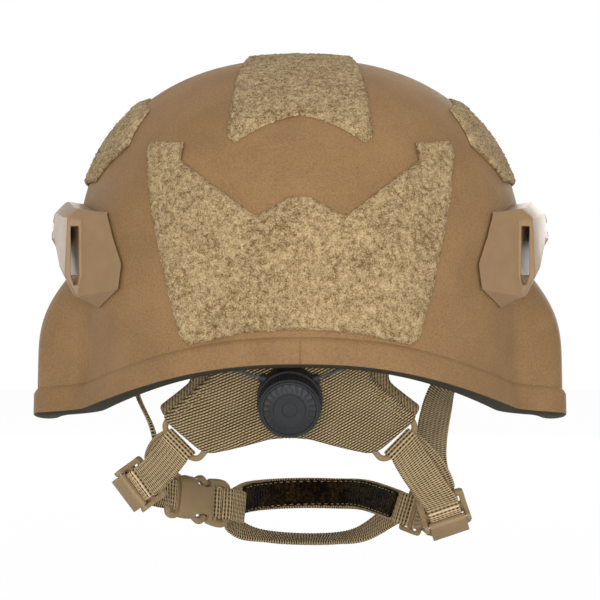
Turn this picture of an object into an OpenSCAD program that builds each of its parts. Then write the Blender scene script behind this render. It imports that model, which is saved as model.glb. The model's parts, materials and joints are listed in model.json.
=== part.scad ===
// Full-cut combat helmet: composite shell, rubber edge trim, loop panels, side rails, front shroud,
// comfort pads, dial-tightened nape cradle and a four-point chin harness with a side-release buckle.
// Frame: +Z up, +Y towards the face, +X the wearer's right. z = 0 is the lowest line of the ear covers.

/* [Shell] */
// Half width of the dome at its widest
dome_half_w = 104; // [98:0.5:110]
// Half length of the shell towards the nape
rear_half_l = 134; // [128:1:142]
// Half length of the shell towards the brow
front_half_l = 137; // [130:1:145]
// Height of the dome above its widest line
dome_rise = 96; // [88:1:102]
// Height of the widest line above the ear bottoms
waist_z = 70; // [66:1:76]
// Squareness of the dome, 2 for an ellipse
dome_n = 2.3; // [2:0.05:2.6]
// Thickness of the composite wall
shell_t = 8.5; // [7:0.5:10]
// How far the ear covers stand out from the dome
ear_out = 17.3; // [12:0.5:20]
// Height of the rim at the nape
rim_rear_z = 27; // [20:1:34]
// Height of the rim at the brow
rim_front_z = 48; // [42:1:54]

/* [Edge trim] */
// Height of the trim's legs
trim_h = 10; // [8:0.5:12]
// Thickness of the trim's rubber
trim_t = 1.6; // [1.2:0.1:2.4]

/* [Loop panels] */
// Thickness of the loop pile and its backing
loop_t = 2.4; // [1.8:0.1:3.2]

/* [Rails] */
// Width of the accessory slot at the rail's rear end
slot_w = 3.4; // [2.8:0.1:4]
// Height of the accessory slot
slot_h = 26; // [20:1:28]
// Depth of the accessory slot
slot_d = 40; // [30:1:44]
// Diameter of the rail screws
screw_d = 5; // [4:0.5:6]

/* [Front shroud] */
// Width of the shroud plate
shroud_w = 58; // [52:1:64]
// Height of the shroud plate
shroud_h = 50; // [44:1:54]
// Width of the pocket's mouth
pocket_w = 26; // [22:1:30]
// Depth of the pocket behind the front face
pocket_d = 5; // [4:0.5:6]

/* [Comfort pads] */
// Thickness of the pads
pad_t = 19; // [14:1:21]
// Diameter of the hook discs under the pads
disc_d = 22; // [16:1:26]

/* [Webbing] */
// Width of the webbing
web_w = 15; // [12:0.5:16]
// Thickness of the webbing
web_t = 1.6; // [1.2:0.1:2]

/* [Nape cradle] */
// Lean of the cradle, its foot towards the neck
nape_lean = 18; // [14:1:22]
// How far the cradle hangs off centre
nape_x = -4.5; // [-6:0.5:6]
// Thickness of the comfort pad in the cradle
nape_pad_t = 10; // [7:0.5:12]

/* [Fit dial] */
// Diameter of the dial
dial_d = 27; // [24:0.5:30]
// Height of the dial's knurled rim
dial_h = 9; // [7:0.5:11]
// Diameter of the lace
lace_d = 1.2; // [1:0.1:1.6]

/* [Buckle] */
// Length of the socket
socket_l = 25; // [22:1:28]
// Thickness of the socket
socket_t = 8; // [7:0.5:9]

/* [Hidden] */
COYOTE = [0.56, 0.44, 0.30];
KHAKI = [0.66, 0.56, 0.40];
RAIL_TAN = [0.60, 0.48, 0.36];
WEB_TAN = [0.60, 0.51, 0.37];
BLACK = [0.12, 0.12, 0.13];
$fn = 48;
// Gap between curved faces that seat on each other
seat = 0.3;
// Angular step of the shell's columns, and its rows above and below the waist
STEP = 5;
DOME_ROWS = 9;
WALL_ROWS = 8;
CROWN_ANGLE = 85;

// Small helpers
function clamp01(v) = max(0, min(1, v));
function smooth(v) = let (c = clamp01(v)) c * c * (3 - 2 * c);
function unit(v) = v / norm(v);
function mix(a, b, t) = a + (b - a) * t;
function flat(rows) = [for (r = rows) each r];
function quad(a, b, c, d) = [[a, b, c], [a, c, d]];

// A point of the shell family of surfaces: azimuth t, height z, offset o outward from the outer face
function reach(t, o) =
    let (b = (sin(t) < 0 ? rear_half_l : front_half_l) + o)
    pow(pow(abs(cos(t)) / (dome_half_w + o), dome_n) + pow(abs(sin(t)) / b, dome_n), -1 / dome_n);
rim_flare = 0.015;
function girth(z, o) = z > waist_z
    ? pow(max(0, 1 - pow((z - waist_z) / (dome_rise + o), dome_n)), 1 / dome_n)
    : 1 + rim_flare * (waist_z - z) / waist_z;
// The ear cover: full from ear_back to ear_front, faded out over ear_fade, its shoulder below the waist
ear_back = -40;
ear_front = 46;
ear_fade = 28;
ear_drop = 45;
function ear_height(z) = let (s = clamp01((waist_z - z) / ear_drop)) 1 - pow(1 - pow(s, 1.2), 3);
function ear_length(y, o) =
    smooth((y - ear_back + ear_fade + 0.6 * o) / ear_fade) *
    smooth((ear_front + ear_fade - y + 0.6 * o) / ear_fade);
function surf(t, z, o) =
    let (r = reach(t, o) * girth(z, o), x = r * cos(t), y = r * sin(t))
    [x + sign(x) * ear_out * ear_height(z - 0.6 * o) * ear_length(y, o), y, z];
function normal(t, z) =
    unit(cross(surf(t + 0.5, z, 0) - surf(t - 0.5, z, 0), surf(t, z + 0.5, 0) - surf(t, z - 0.5, 0)));

// Height of the rim at azimuth t: low along the ear covers, higher at the nape and the brow
brow_start = 40;
brow_end = 94;
function rim_z(t) =
    let (y = reach(t, 0) * sin(t))
    y < 0 ? rim_rear_z * (0.25 * (-y / rear_half_l) + 0.75 * pow(-y / rear_half_l, 3))
          : rim_front_z * smooth((y - brow_start) / (brow_end - brow_start));

// Heights of a column's rows from the crown angle down to the waist, then down to foot
function dome_zs(o, top = CROWN_ANGLE, n = DOME_ROWS) =
    [for (i = [0:n - 1]) waist_z + (dome_rise + o) * pow(sin(top * (1 - i / n)), 2 / dome_n)];
function wall_zs(foot, n = WALL_ROWS) = [for (i = [0:n]) mix(waist_z, foot, i / n)];

// Closed solid between two grids of points, outer (a) and inner (b). Rows run down, columns run
// anticlockwise seen from above. wrap joins the last column to the first; caps closes the crown.
module between(a, b, wrap = false, caps = false) {
    nr = len(a);
    nc = len(a[0]);
    last = wrap ? nc - 1 : nc - 2;
    function at(s, i, j) = s * nr * nc + i * nc + j % nc;
    skin = [for (i = [0:nr - 2]) for (j = [0:last]) each concat(
        quad(at(0, i, j), at(0, i, j + 1), at(0, i + 1, j + 1), at(0, i + 1, j)),
        quad(at(1, i, j), at(1, i + 1, j), at(1, i + 1, j + 1), at(1, i, j + 1)))];
    foot = [for (j = [0:last]) each
        quad(at(0, nr - 1, j), at(0, nr - 1, j + 1), at(1, nr - 1, j + 1), at(1, nr - 1, j))];
    head = caps
        ? concat([for (j = [1:nc - 2]) [at(0, 0, 0), at(0, 0, j + 1), at(0, 0, j)]],
                 [for (j = [1:nc - 2]) [at(1, 0, 0), at(1, 0, j), at(1, 0, j + 1)]])
        : [for (j = [0:last]) each quad(at(0, 0, j + 1), at(0, 0, j), at(1, 0, j), at(1, 0, j + 1))];
    ends = wrap ? [] : [for (i = [0:nr - 2]) each concat(
        quad(at(0, i, 0), at(0, i + 1, 0), at(1, i + 1, 0), at(1, i, 0)),
        quad(at(0, i + 1, nc - 1), at(0, i, nc - 1), at(1, i, nc - 1), at(1, i + 1, nc - 1)))];
    polyhedron(concat(flat(a), flat(b)), concat(skin, foot, head, ends));
}

// Solid swept through rings of points, all of one length, closed round when loop is true
module through(rings, loop = false) {
    nr = len(rings);
    nc = len(rings[0]);
    last = loop ? nr - 1 : nr - 2;
    function at(i, j) = (i % nr) * nc + j % nc;
    skin = [for (i = [0:last]) for (j = [0:nc - 1]) each
        quad(at(i, j), at(i, j + 1), at(i + 1, j + 1), at(i + 1, j))];
    ends = loop ? [] : concat(
        [for (j = [1:nc - 2]) [at(0, 0), at(0, j + 1), at(0, j)]],
        [for (j = [1:nc - 2]) [at(nr - 1, 0), at(nr - 1, j), at(nr - 1, j + 1)]]);
    polyhedron(flat(rings), concat(skin, ends));
}

// Places children with local +X along u, +Y near v and +Z along their cross product, at p
function second(u, v) = unit(v - (v * unit(u)) * unit(u));
module orient(p, u, v) {
    a = unit(u);
    b = second(u, v);
    c = cross(a, b);
    multmatrix([[a.x, b.x, c.x, p.x], [a.y, b.y, c.y, p.y], [a.z, b.z, c.z, p.z], [0, 0, 0, 1]])
        children();
}
function placed(p, u, v, q) =
    let (a = unit(u), b = second(u, v), c = cross(a, b)) p + a * q.x + b * q.y + c * q.z;
// Places children on the shell's outer face with local +Z along the outward normal
module on_shell(t, z) {
    n = normal(t, z);
    translate(surf(t, z, 0)) rotate([0, acos(n.z), atan2(n.y, n.x)]) children();
}

// A piece of the layer between offsets lo and hi of the shell, azimuths t0 to t1, heights z1 down to z0
module layer(t0, t1, lo, hi, top = 80, foot_z = 0, rows = WALL_ROWS) {
    cols = [for (t = [t0:STEP:t1]) t];
    function column(t, o) = [for (z = concat(dome_zs(o, top), wall_zs(foot_z, rows))) surf(t, z, o)];
    function grid(o) = let (c = [for (t = cols) column(t, o)])
        [for (i = [0:len(c[0]) - 1]) [for (k = c) k[i]]];
    between(grid(hi), grid(lo));
}
module crown_layer(lo, hi, low_angle) {
    n = 7;
    zs = function (o) [for (i = [0:n])
        waist_z + (dome_rise + o) * pow(sin(mix(CROWN_ANGLE, low_angle, i / n)), 2 / dome_n)];
    function grid(o) = [for (z = zs(o)) [for (t = [0:STEP:359]) surf(t, z, o)]];
    between(grid(hi), grid(lo), wrap = true, caps = true);
}

// Places of the fasteners on the shell: azimuth and height
rail_screw_t = 17;
rail_screw_z = 86;
shroud_screw_t = 9;
shroud_mid_z = 96;
shroud_screw_z = 17;
screw_head_o = 6.8;
hole_gap = 0.25;
RAIL_SCREWS = [for (s = [0, 180]) for (t = [-1, 1])
    [s + (s == 0 ? 1 : -1) * t * rail_screw_t, rail_screw_z, t]];
SHROUD_SCREWS = [for (t = [-1, 1]) for (k = [-1, 1])
    [90 + t * shroud_screw_t, shroud_mid_z + k * shroud_screw_z]];
shroud_screw_d = 4;

// Shell with its edge trim
module shell() {
    cols = [for (t = [0:STEP:359]) t];
    function column(t, o) = [for (z = concat(dome_zs(o), wall_zs(rim_z(t)))) surf(t, z, o)];
    function grid(o) = let (c = [for (t = cols) column(t, o)])
        [for (i = [0:DOME_ROWS + WALL_ROWS]) [for (k = c) k[i]]];
    color(COYOTE) difference() {
        between(grid(0), grid(-shell_t), wrap = true, caps = true);
        for (s = RAIL_SCREWS) on_shell(s[0], s[1])
            translate([0, 0, -2 * shell_t]) cylinder(d = screw_d + 2 * hole_gap, h = 3 * shell_t);
        for (s = SHROUD_SCREWS) on_shell(s[0], s[1])
            translate([0, 0, -2 * shell_t]) cylinder(d = shroud_screw_d + 2 * hole_gap, h = 3 * shell_t);
    }
}
trim_gap = 0.15;
trim_foot = 2.2;
module edge_trim() {
    inner = -shell_t - trim_gap;
    // Profile as outward offset and height over the rim, up the outer face first
    profile = [
        [trim_t, -0.8], [trim_t, trim_h - 0.6], [trim_t * 0.6, trim_h], [trim_gap, trim_h],
        [trim_gap, -trim_gap], [inner, -trim_gap], [inner, trim_h], [inner - trim_t * 0.6, trim_h],
        [inner - trim_t, trim_h - 0.6], [inner - trim_t, -0.8], [inner + 0.4, -trim_foot],
        [-0.8, -trim_foot]];
    color(COYOTE * 0.9) through(
        [for (t = [0:STEP:359]) [for (p = profile) surf(t, rim_z(t) + p[1], p[0])]], loop = true);
}

// Loop panels, cut from the layer just outside the shell
loop_gap = 0.35;
module loop_layer(t0, t1, foot_z, top = 80) {
    layer(t0, t1, loop_gap, loop_t, top = top, foot_z = foot_z, rows = 4);
}
module rounded(r) {
    offset(r) offset(-r) children();
}
function mirrored(half) = concat(half, [for (i = [len(half) - 1:-1:0]) [-half[i].x, half[i].y]]);
// Length of the prisms that cut the panels, past the shell's outside
cut_l = 1.5 * front_half_l;
panel_foot_z = 25;
// Half outline in X and Z: a broad panel with two horns, two valleys and a centre peak
LOOP_REAR = [
    [0, 41], [25, 39], [47.5, 34], [51.5, 36.5], [57, 56], [62, 79], [65.5, 97], [68, 119], [66, 123.5],
    [50.5, 122], [52, 114], [22, 91], [18, 89.5], [4, 97.6], [0, 97.6]];
module loop_rear() {
    color(KHAKI) intersection() {
        loop_layer(220, 320, panel_foot_z, top = 60);
        rotate([90, 0, 0]) linear_extrude(cut_l) rounded(1) polygon(mirrored(LOOP_REAR));
    }
}
// Half outline in X and Y, narrowing to the front, notched at the back and at the front
LOOP_TOP = [[0, -108], [28, -116], [31.5, -113], [25, -40], [24, 50], [20, 62], [0, 52]];
module loop_top() {
    color(KHAKI) intersection() {
        crown_layer(loop_gap, loop_t, 20);
        translate([0, 0, waist_z]) linear_extrude(cut_l) rounded(1.5) polygon(mirrored(LOOP_TOP));
    }
}
// Outline in Y and Z seen from the side
LOOP_SIDE = [[-76, 122], [-62, 139], [-20, 147], [34, 147], [60, 138], [52, 112], [30, 107], [-56, 107]];
module side_panel() {
    intersection() {
        layer(-55, 45, loop_gap, loop_t, top = 62, foot_z = waist_z - 10, rows = 1);
        rotate([90, 0, 90]) linear_extrude(cut_l) rounded(2) polygon(LOOP_SIDE);
    }
}
module loop_left() {
    color(KHAKI) mirror([1, 0, 0]) side_panel();
}
module loop_right() {
    color(KHAKI) side_panel();
}
// Half outline in X and Z of the panel over the shroud, notched for it
LOOP_FRONT = [[0, 125], [34, 125], [34, 112], [46, 112], [48, 128], [30, 146], [0, 146]];
module loop_front() {
    color(KHAKI) intersection() {
        loop_layer(45, 135, waist_z - 10, top = 70);
        translate([0, cut_l, 0]) rotate([90, 0, 0]) linear_extrude(cut_l) rounded(1.5)
            polygon(mirrored(LOOP_FRONT));
    }
}

// Accessory rails, one drawn on the right and mirrored. Heights of the rail's section at its middle
rail_top = 97;
rail_foot = 66;
rail_drop = 15;
rail_front_drop = 6;
rail_gap = 0.35;
rail_w = 12.5;
rail_end_w = 14.5;
function rail_end(y) = smooth((abs(y) - 45) / 30);
function rail_point(p) = surf(p[0], p[1], 0) + normal(p[0], p[1]) * p[2];
// Section of the rail's body at azimuth t, from its foot round the outside to its top
function rail_ring(t) =
    let (e = rail_end(surf(t, waist_z, 0).y), w = mix(rail_w, rail_end_w, e),
        zt = rail_top - 4 * e, zb = rail_foot - (t < 0 ? rail_drop : rail_front_drop) * e)
    [for (p = [[zb, rail_gap], [zb + 1 + 2.8 * e, mix(0.36, 0.68, e) * w],
        [mix(zb, zt, 0.48 - 0.17 * e), w], [zt - 6 + e, w], [zt - 0.6, 0.68 * w], [zt, rail_gap],
        [mix(zb, zt, 0.67), rail_gap], [mix(zb, zt, 0.33), rail_gap]]) rail_point([t, p[0], p[1]])];
// The bevelled end beyond the slot's mouth: its ridge, then its tip on the shell, as azimuth, height, offset
rail_end_t = 39.3;
RAIL_RIDGE = [[40.5, 50, 0.35], [40.5, 54.4, 9.6], [40.5, 64.4, 7.6], [40.5, 87.6, 8.8], [40.5, 92, 6],
    [40.5, 93, 0.35], [40.5, 79, 0.35], [40.5, 64, 0.35]];
RAIL_TIP = [[42.5, 49.6, 0.6], [51, 58, 1.3], [52, 69, 1.3], [48.6, 81, 1.3], [45.2, 91.4, 1.3],
    [44.7, 92.4, 0.6], [46, 79, 0.45], [47, 64, 0.45]];
// The front end is squatter, clear of the rising rim
rail_end_top = 93;
front_squat = 0.77;
function rail_end_z(s, z) = s < 0 ? z : rail_end_top - (rail_end_top - z) * front_squat;
function rail_end_rings(s) = [for (ring = [RAIL_RIDGE, RAIL_TIP])
    [for (q = ring) rail_point([s * q[0], rail_end_z(s, q[1]), q[2]])]];
function rail_rings() = concat([rail_end_rings(-1)[1], rail_end_rings(-1)[0]],
    [for (t = concat([-rail_end_t], [for (t = [-35:STEP:35]) t], [rail_end_t])) rail_ring(t)],
    rail_end_rings(1));
channel_x = 112;
channel_h = 6;
channel_y = 56;
slot_z = 73;
slot_lip = 2.6;
module rail() {
    a = rail_point([-rail_end_t, slot_z, rail_end_w - slot_lip - slot_w / 2]);
    b = [dome_half_w + rail_w - 2 * slot_lip, a.y + slot_d, slot_z];
    difference() {
        through(rail_rings());
        orient(a, b - a, [0, 0, 1]) translate([-8, -slot_h / 2, -slot_w / 2])
            cube([8 + slot_d, slot_h, slot_w]);
        translate([channel_x, -channel_y / 2, rail_screw_z - channel_h / 2]) cube([20, channel_y, channel_h]);
        for (k = [-2:2])
            translate([channel_x, k * channel_y / 5.2 - 1.5, rail_screw_z - channel_h / 2 - 2])
                cube([20, 3, channel_h + 4]);
        for (t = [-1, 1]) on_shell(t * rail_screw_t, rail_screw_z) {
            translate([0, 0, -1]) cylinder(d = screw_d + 2 * hole_gap, h = 30);
            translate([0, 0, screw_head_o]) cylinder(d = 2 * screw_d, h = 30);
        }
    }
}
module rail_left() {
    color(RAIL_TAN) mirror([1, 0, 0]) rail();
}
module rail_right() {
    color(RAIL_TAN) rail();
}
module hex_screw(d, head_o, tip_o, head_h = 2.8) {
    translate([0, 0, -tip_o]) cylinder(d = d, h = tip_o + head_o + 0.5);
    difference() {
        translate([0, 0, head_o]) cylinder(d = 1.8 * d, h = head_h);
        translate([0, 0, head_o + 1]) cylinder(d = 0.6 * d, h = head_h, $fn = 6);
    }
}
nut_h = 2.2;
nut_gap = 0.8;
strap_gap = 1;
eyelet_gap = 1;
flange_t = 0.6;
eyelet_o = shell_t + strap_gap + web_t + eyelet_gap + flange_t;
// Depth of a rail nut's face: on the strap's eyelet in front, on the shell behind
function nut_o(k) = k > 0 ? eyelet_o + 0.1 : shell_t + nut_gap;
module rail_screws() {
    color(BLACK) for (s = RAIL_SCREWS) on_shell(s[0], s[1])
        hex_screw(screw_d, screw_head_o, nut_o(s[2]) + nut_h + 0.6);
}
module rail_nuts() {
    color(BLACK) for (s = RAIL_SCREWS) on_shell(s[0], s[1]) difference() {
        translate([0, 0, -nut_o(s[2]) - nut_h]) cylinder(d = 2.6 * screw_d, h = nut_h);
        translate([0, 0, -nut_o(s[2]) - 2 * nut_h]) cylinder(d = screw_d + 0.06, h = 3 * nut_h);
    }
}

// Front shroud with its dovetail pocket, latch notch and four screws
shroud_t = 7;
pocket_h = 34;
module shroud() {
    w = shroud_w / 2;
    h = shroud_h / 2;
    cut = 8;
    outline = [[-w, cut - h], [cut - w, -h], [w - cut, -h], [w, cut - h], [w, h - cut], [w - cut, h],
        [cut - w, h], [-w, h - cut]];
    face_y = surf(90, shroud_mid_z, shroud_t).y;
    color(BLACK) difference() {
        intersection() {
            layer(60, 120, loop_gap, shroud_t, top = 55, foot_z = 60, rows = 3);
            translate([0, cut_l, shroud_mid_z]) rotate([90, 0, 0]) linear_extrude(cut_l) rounded(2)
                polygon(outline);
        }
        translate([0, face_y + 10, shroud_mid_z + 3]) rotate([90, 0, 0]) linear_extrude(10 + pocket_d)
            polygon([[-pocket_w / 2, -pocket_h / 2], [pocket_w / 2, -pocket_h / 2],
                [pocket_w / 2 + 3, pocket_h / 2 + 30], [-pocket_w / 2 - 3, pocket_h / 2 + 30]]);
        translate([-5, face_y - pocket_d - 1, shroud_mid_z - pocket_h / 2 - 1]) cube([10, 12, 4.5]);
        for (s = SHROUD_SCREWS) on_shell(s[0], s[1]) {
            translate([0, 0, -1]) cylinder(d = shroud_screw_d + 2 * hole_gap, h = 20);
            translate([0, 0, shroud_t - 3]) cylinder(d1 = 4.5, d2 = 10.5, h = 3);
            translate([0, 0, shroud_t - 0.05]) cylinder(d = 10.5, h = 10);
        }
    }
}
module shroud_screws() {
    color(BLACK * 1.6) for (s = SHROUD_SCREWS) on_shell(s[0], s[1]) difference() {
        union() {
            translate([0, 0, -shell_t - 2.6]) cylinder(d = shroud_screw_d, h = shell_t + shroud_t);
            translate([0, 0, shroud_t - 2.8]) cylinder(d1 = 4, d2 = 8.6, h = 2.3);
        }
        translate([0, 0, shroud_t - 1.8]) cylinder(d = 2.4, h = 3, $fn = 6);
    }
}
module shroud_nuts() {
    color(BLACK) for (s = SHROUD_SCREWS) on_shell(s[0], s[1]) difference() {
        translate([0, 0, -shell_t - 3.1]) cylinder(d = 12, h = 1.9);
        translate([0, 0, -shell_t - 5]) cylinder(d = shroud_screw_d + 0.06, h = 5);
    }
}

// Comfort pads: crowned cushions with drawn-in sides, held by hook discs
pad_back = 3.4;
pad_edge = 7;
function squash_in(u, v) = u * sqrt(1 - 0.16 * v * v);
function fullness(u, v) = pow(max(0, (1 - pow(abs(u), 4)) * (1 - pow(abs(v), 4))), 0.4);
module pad(t_mid, t_half, z_mid, z_half) {
    nu = 10;
    nv = 9;
    vs = [for (i = [0:nv]) 1 - 2 * i / nv];
    us = [for (j = [0:nu]) 2 * j / nu - 1];
    function point(u, v, o) = surf(t_mid + t_half * squash_in(u, v), z_mid + z_half * squash_in(v, u), o);
    outer = [for (v = vs) [for (u = us) point(u, v, -shell_t - pad_back - 2 * (1 - fullness(u, v)))]];
    inner = [for (v = vs) [for (u = us)
        point(u, v, -shell_t - pad_back - pad_edge - (pad_t - pad_back - pad_edge) * fullness(u, v))]];
    between(outer, inner);
}
PAD_GREY = [0.20, 0.19, 0.16];
side_pad_t = 43;
side_pad_half = 17;
end_pad_half = 26;
// Heights of the front and the rear pads' middles, and half the height of both
pad_front_z = 88;
pad_rear_z = 84;
pad_half_h = 26;
module pad_front() {
    color(PAD_GREY) pad(90, end_pad_half, pad_front_z, pad_half_h);
}
module pad_rear() {
    color(PAD_GREY) pad(270, end_pad_half, pad_rear_z, pad_half_h);
}
module pad_left_front() {
    color(PAD_GREY) pad(180 - side_pad_t, side_pad_half, pad_front_z, pad_half_h);
}
module pad_left_rear() {
    color(PAD_GREY) pad(180 + side_pad_t, side_pad_half, pad_rear_z, pad_half_h);
}
module pad_right_front() {
    color(PAD_GREY) pad(side_pad_t, side_pad_half, pad_front_z, pad_half_h);
}
module pad_right_rear() {
    color(PAD_GREY) pad(-side_pad_t, side_pad_half, pad_rear_z, pad_half_h);
}
crown_pad_low = 52;
module pad_crown() {
    n = 9;
    vs = [for (i = [0:n]) i / n];
    function ring(v, o) = let (f = mix(CROWN_ANGLE, crown_pad_low, v))
        [for (t = [0:15:359]) surf(t, waist_z + (dome_rise + o) * pow(sin(f), 2 / dome_n), o)];
    outer = [for (v = vs) ring(v, -shell_t - pad_back - 2 * (1 - fullness(v, 0)))];
    inner = [for (v = vs)
        ring(v, -shell_t - pad_back - pad_edge - (pad_t - pad_back - pad_edge) * fullness(v, 0))];
    color(PAD_GREY) between(outer, inner, wrap = true, caps = true);
}
disc_t = 1.8;
crown_seat = 1.05;
DISCS = [[90, pad_rear_z], [270, pad_rear_z], [side_pad_t, pad_rear_z + 2],
    [180 - side_pad_t, pad_rear_z + 2], [180 + side_pad_t, pad_rear_z], [-side_pad_t, pad_rear_z]];
module hook_discs() {
    color(BLACK) {
        for (d = DISCS) on_shell(d[0], d[1])
            translate([0, 0, -shell_t - pad_back + 0.2]) cylinder(d = disc_d, h = disc_t);
        translate([0, 0, waist_z + dome_rise - shell_t - crown_seat - disc_t])
            cylinder(d = disc_d, h = disc_t);
    }
}

// Flat straps. A ring of a strap: centre, outward radial, width direction, width and thickness
function strap_ring(c, rad, w, width, thick) =
    let (a = rad * thick / 2, b = w * width / 2) [c + a + b, c - a + b, c - a - b, c + a - b];
// Strap along the points ps, its width turning from w0 to w1 over the middle, lifted towards its own face;
// trim drops that many points at the start and at the end
module ribbon(ps, w0, w1, width, thick, lift = 0, trim = [0, 0]) {
    n = len(ps) - 1;
    through([for (i = [trim[0]:n - trim[1]])
        let (t = unit(ps[min(n, i + 1)] - ps[max(0, i - 1)]),
            w = second(t, mix(w0, w1, smooth(2 * i / n - 0.5))), f = cross(t, w))
        strap_ring(ps[i] + f * lift, f, w, width, thick)]);
}
// Doubled strap looped round two bars: centres pa and pb, bar directions wa and wb, bar radii ra and rb
function belt_arc(p, out, w, r, width, thick) = [for (k = [-90:30:90])
    let (rad = out * cos(k) + cross(w, out) * sin(k)) [p + rad * (r + thick / 2), rad, w]];
function belt_run(q, s, n = 5) = [for (k = [1:n - 1])
    let (w = unit(mix(q[2], s[2], k / n))) [mix(q[0], s[0], k / n), second(w, mix(q[1], s[1], k / n)), w]];
module belt(pa, wa, ra, pb, wb, rb, width, thick) {
    a = belt_arc(pa, second(wa, pa - pb), unit(wa), ra, width, thick);
    b = belt_arc(pb, second(wb, pb - pa), unit(wb), rb, width, thick);
    loop = concat(a, belt_run(a[6], b[0]), b, belt_run(b[6], a[0]));
    through([for (q = loop) strap_ring(q[0], q[1], q[2], width, thick)], loop = true);
}
// Smooth line through hand-chosen points
function curve(ps, n = 4) = let (m = len(ps) - 1) concat([for (i = [0:m - 1]) for (k = [0:n - 1])
    let (a = ps[max(0, i - 1)], b = ps[i], c = ps[i + 1], d = ps[min(m, i + 2)], t = k / n)
    0.5 * (2 * b + (c - a) * t + (2 * a - 5 * b + 4 * c - d) * t * t + (3 * b - a - 3 * c + d) * t * t * t)],
    [ps[m]]);
// Round tube along points, sides facets round
module tube(ps, d, sides = 8) {
    n = len(ps) - 1;
    through([for (i = [0:n])
        let (t = unit(ps[min(n, i + 1)] - ps[max(0, i - 1)]), w = second(t, [0, 0.3, 1]), f = cross(t, w))
        [for (k = [0:sides - 1]) ps[i] + (f * cos(-360 * k / sides) + w * sin(-360 * k / sides)) * d / 2]]);
}

// Nape cradle. Its own frame: u to the right, v up the cradle, w out of its rear face, from the dial's seat
nape_inset = 24;
nape_y = nape_inset - rear_half_l;
nape_z = 11.4;
nape_curve = 95;
NAPE_V = [0, -sin(nape_lean), cos(nape_lean)];
NAPE_W = [0, -cos(nape_lean), -sin(nape_lean)];
function nape(u, v, w) = [nape_x + u, nape_y, nape_z] + NAPE_V * v + NAPE_W * (w - u * u / (2 * nape_curve));
module on_nape() {
    multmatrix([[1, 0, 0, nape_x], [0, NAPE_V.y, NAPE_W.y, nape_y], [0, NAPE_V.z, NAPE_W.z, nape_z],
        [0, 0, 0, 1]]) children();
}
cover_t = 1.5;
yoke_t = 1.5;
layer_gap = 0.3;
// Curved slab of the cradle between w = lo and w = hi, cut to a half outline in u and v
module nape_slab(half, lo, hi, crown = 0) {
    us = [for (i = [-7:7]) 9.4 * i];
    vs = [for (i = [0:5]) 30 - 13 * i];
    function bulge(u, v) = crown * smooth((60 - abs(u)) / 26) * smooth((26 - abs(v + 1)) / 20);
    intersection() {
        between([for (v = vs) [for (u = us) nape(u, v, hi)]],
            [for (v = vs) [for (u = us) nape(u, v, lo - bulge(u, v))]]);
        on_nape() translate([0, 0, -60]) linear_extrude(100) rounded(2.5) polygon(mirrored(half));
    }
}
NAPE_COVER = [[0, -19.5], [9, -20.5], [26, -26.5], [35, -29.5], [40, -28.5], [54.5, -18], [56, -15.5],
    [35, 6.5], [35, 20], [0, 20]];
NAPE_PAD = [[0, -17], [26, -23], [37, -25], [51, -21.5], [56.5, -17.5], [58, -14], [43, 1], [45, 12], [44, 24],
    [0, 24]];
module nape_cover() {
    color(WEB_TAN * 0.75) nape_slab(NAPE_COVER, -cover_t, 0);
}
ring_drop = 0.9;
pad_hi = -cover_t - yoke_t - 2 * layer_gap - ring_drop;
module nape_pad() {
    color(WEB_TAN * 0.6) nape_slab(NAPE_PAD, pad_hi - nape_pad_t + 2.5, pad_hi, crown = 2.5);
}
// Strap rings at the cradle's lower corners: the outer bar runs from ring_a to ring_b in u and v
ring_a = [57.5, -22.4];
ring_b = [41, -35.3];
ring_u = (ring_a.x + ring_b.x) / 2;
ring_turn = atan(ring_u / nape_curve);
ring_bar = 2.6;
ring_reach = 10;
ring_dir_uv = unit(ring_b - ring_a);
ring_out = [-ring_dir_uv.y, ring_dir_uv.x];
slot_r = 1.6;
slot_inset = (norm(ring_b - ring_a) - web_w - 2.4) / 2 + slot_r;
yoke_w = -cover_t - layer_gap - yoke_t / 2;
// A point of the flat ring of one side, given in u and v
function ring_u_dir(side) = [side * cos(ring_turn), 0, 0] - NAPE_W * sin(ring_turn);
function ring_point(side, q) =
    nape(side * ring_u, 0, yoke_w - ring_drop) + ring_u_dir(side) * (q.x - ring_u) + NAPE_V * q.y;
function ring_centre(side) = ring_point(side, (ring_a + ring_b) / 2);
function ring_dir(side) = unit(ring_point(side, ring_a) - ring_point(side, ring_b));
module ring_loop(side) {
    module bars(r, ks, inset = 0) {
        ends = [ring_a + ring_dir_uv * inset, ring_b - ring_dir_uv * inset];
        hull() for (q = ends) for (k = ks) translate(q - ring_out * k) circle(r);
    }
    orient(ring_point(side, [ring_u, 0]), ring_u_dir(side), NAPE_V) translate([-ring_u, 0, 0]) {
        translate([0, 0, -yoke_t / 2]) linear_extrude(yoke_t) difference() {
            bars(ring_bar / 2, [0, ring_reach]);
            bars(slot_r, [2.9, 5.2], slot_inset);
        }
        translate([ring_a.x, ring_a.y, 0]) rotate([90, 0, atan2(ring_dir_uv.y, ring_dir_uv.x) + 90])
            cylinder(d = ring_bar, h = norm(ring_b - ring_a));
    }
}
module nape_yoke() {
    plate = [[0, -12], [28, -17], [37, -26], [51, -15], [44, -4], [30, 8], [0, 10]];
    color(RAIL_TAN) {
        nape_slab(plate, yoke_w - yoke_t / 2, yoke_w + yoke_t / 2);
        for (side = [-1, 1]) ring_loop(side);
    }
}

// Brackets on the shell's inner wall that carry the cradle by two webbing tabs on a common axis
hang_y = nape_y + 4;
hang_z = 48;
hang_u = 38;
hang_bar = 2.5;
hang_half = web_w / 2 + 3;
ear_t = 2.4;
wall_gap = 0.3;
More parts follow.
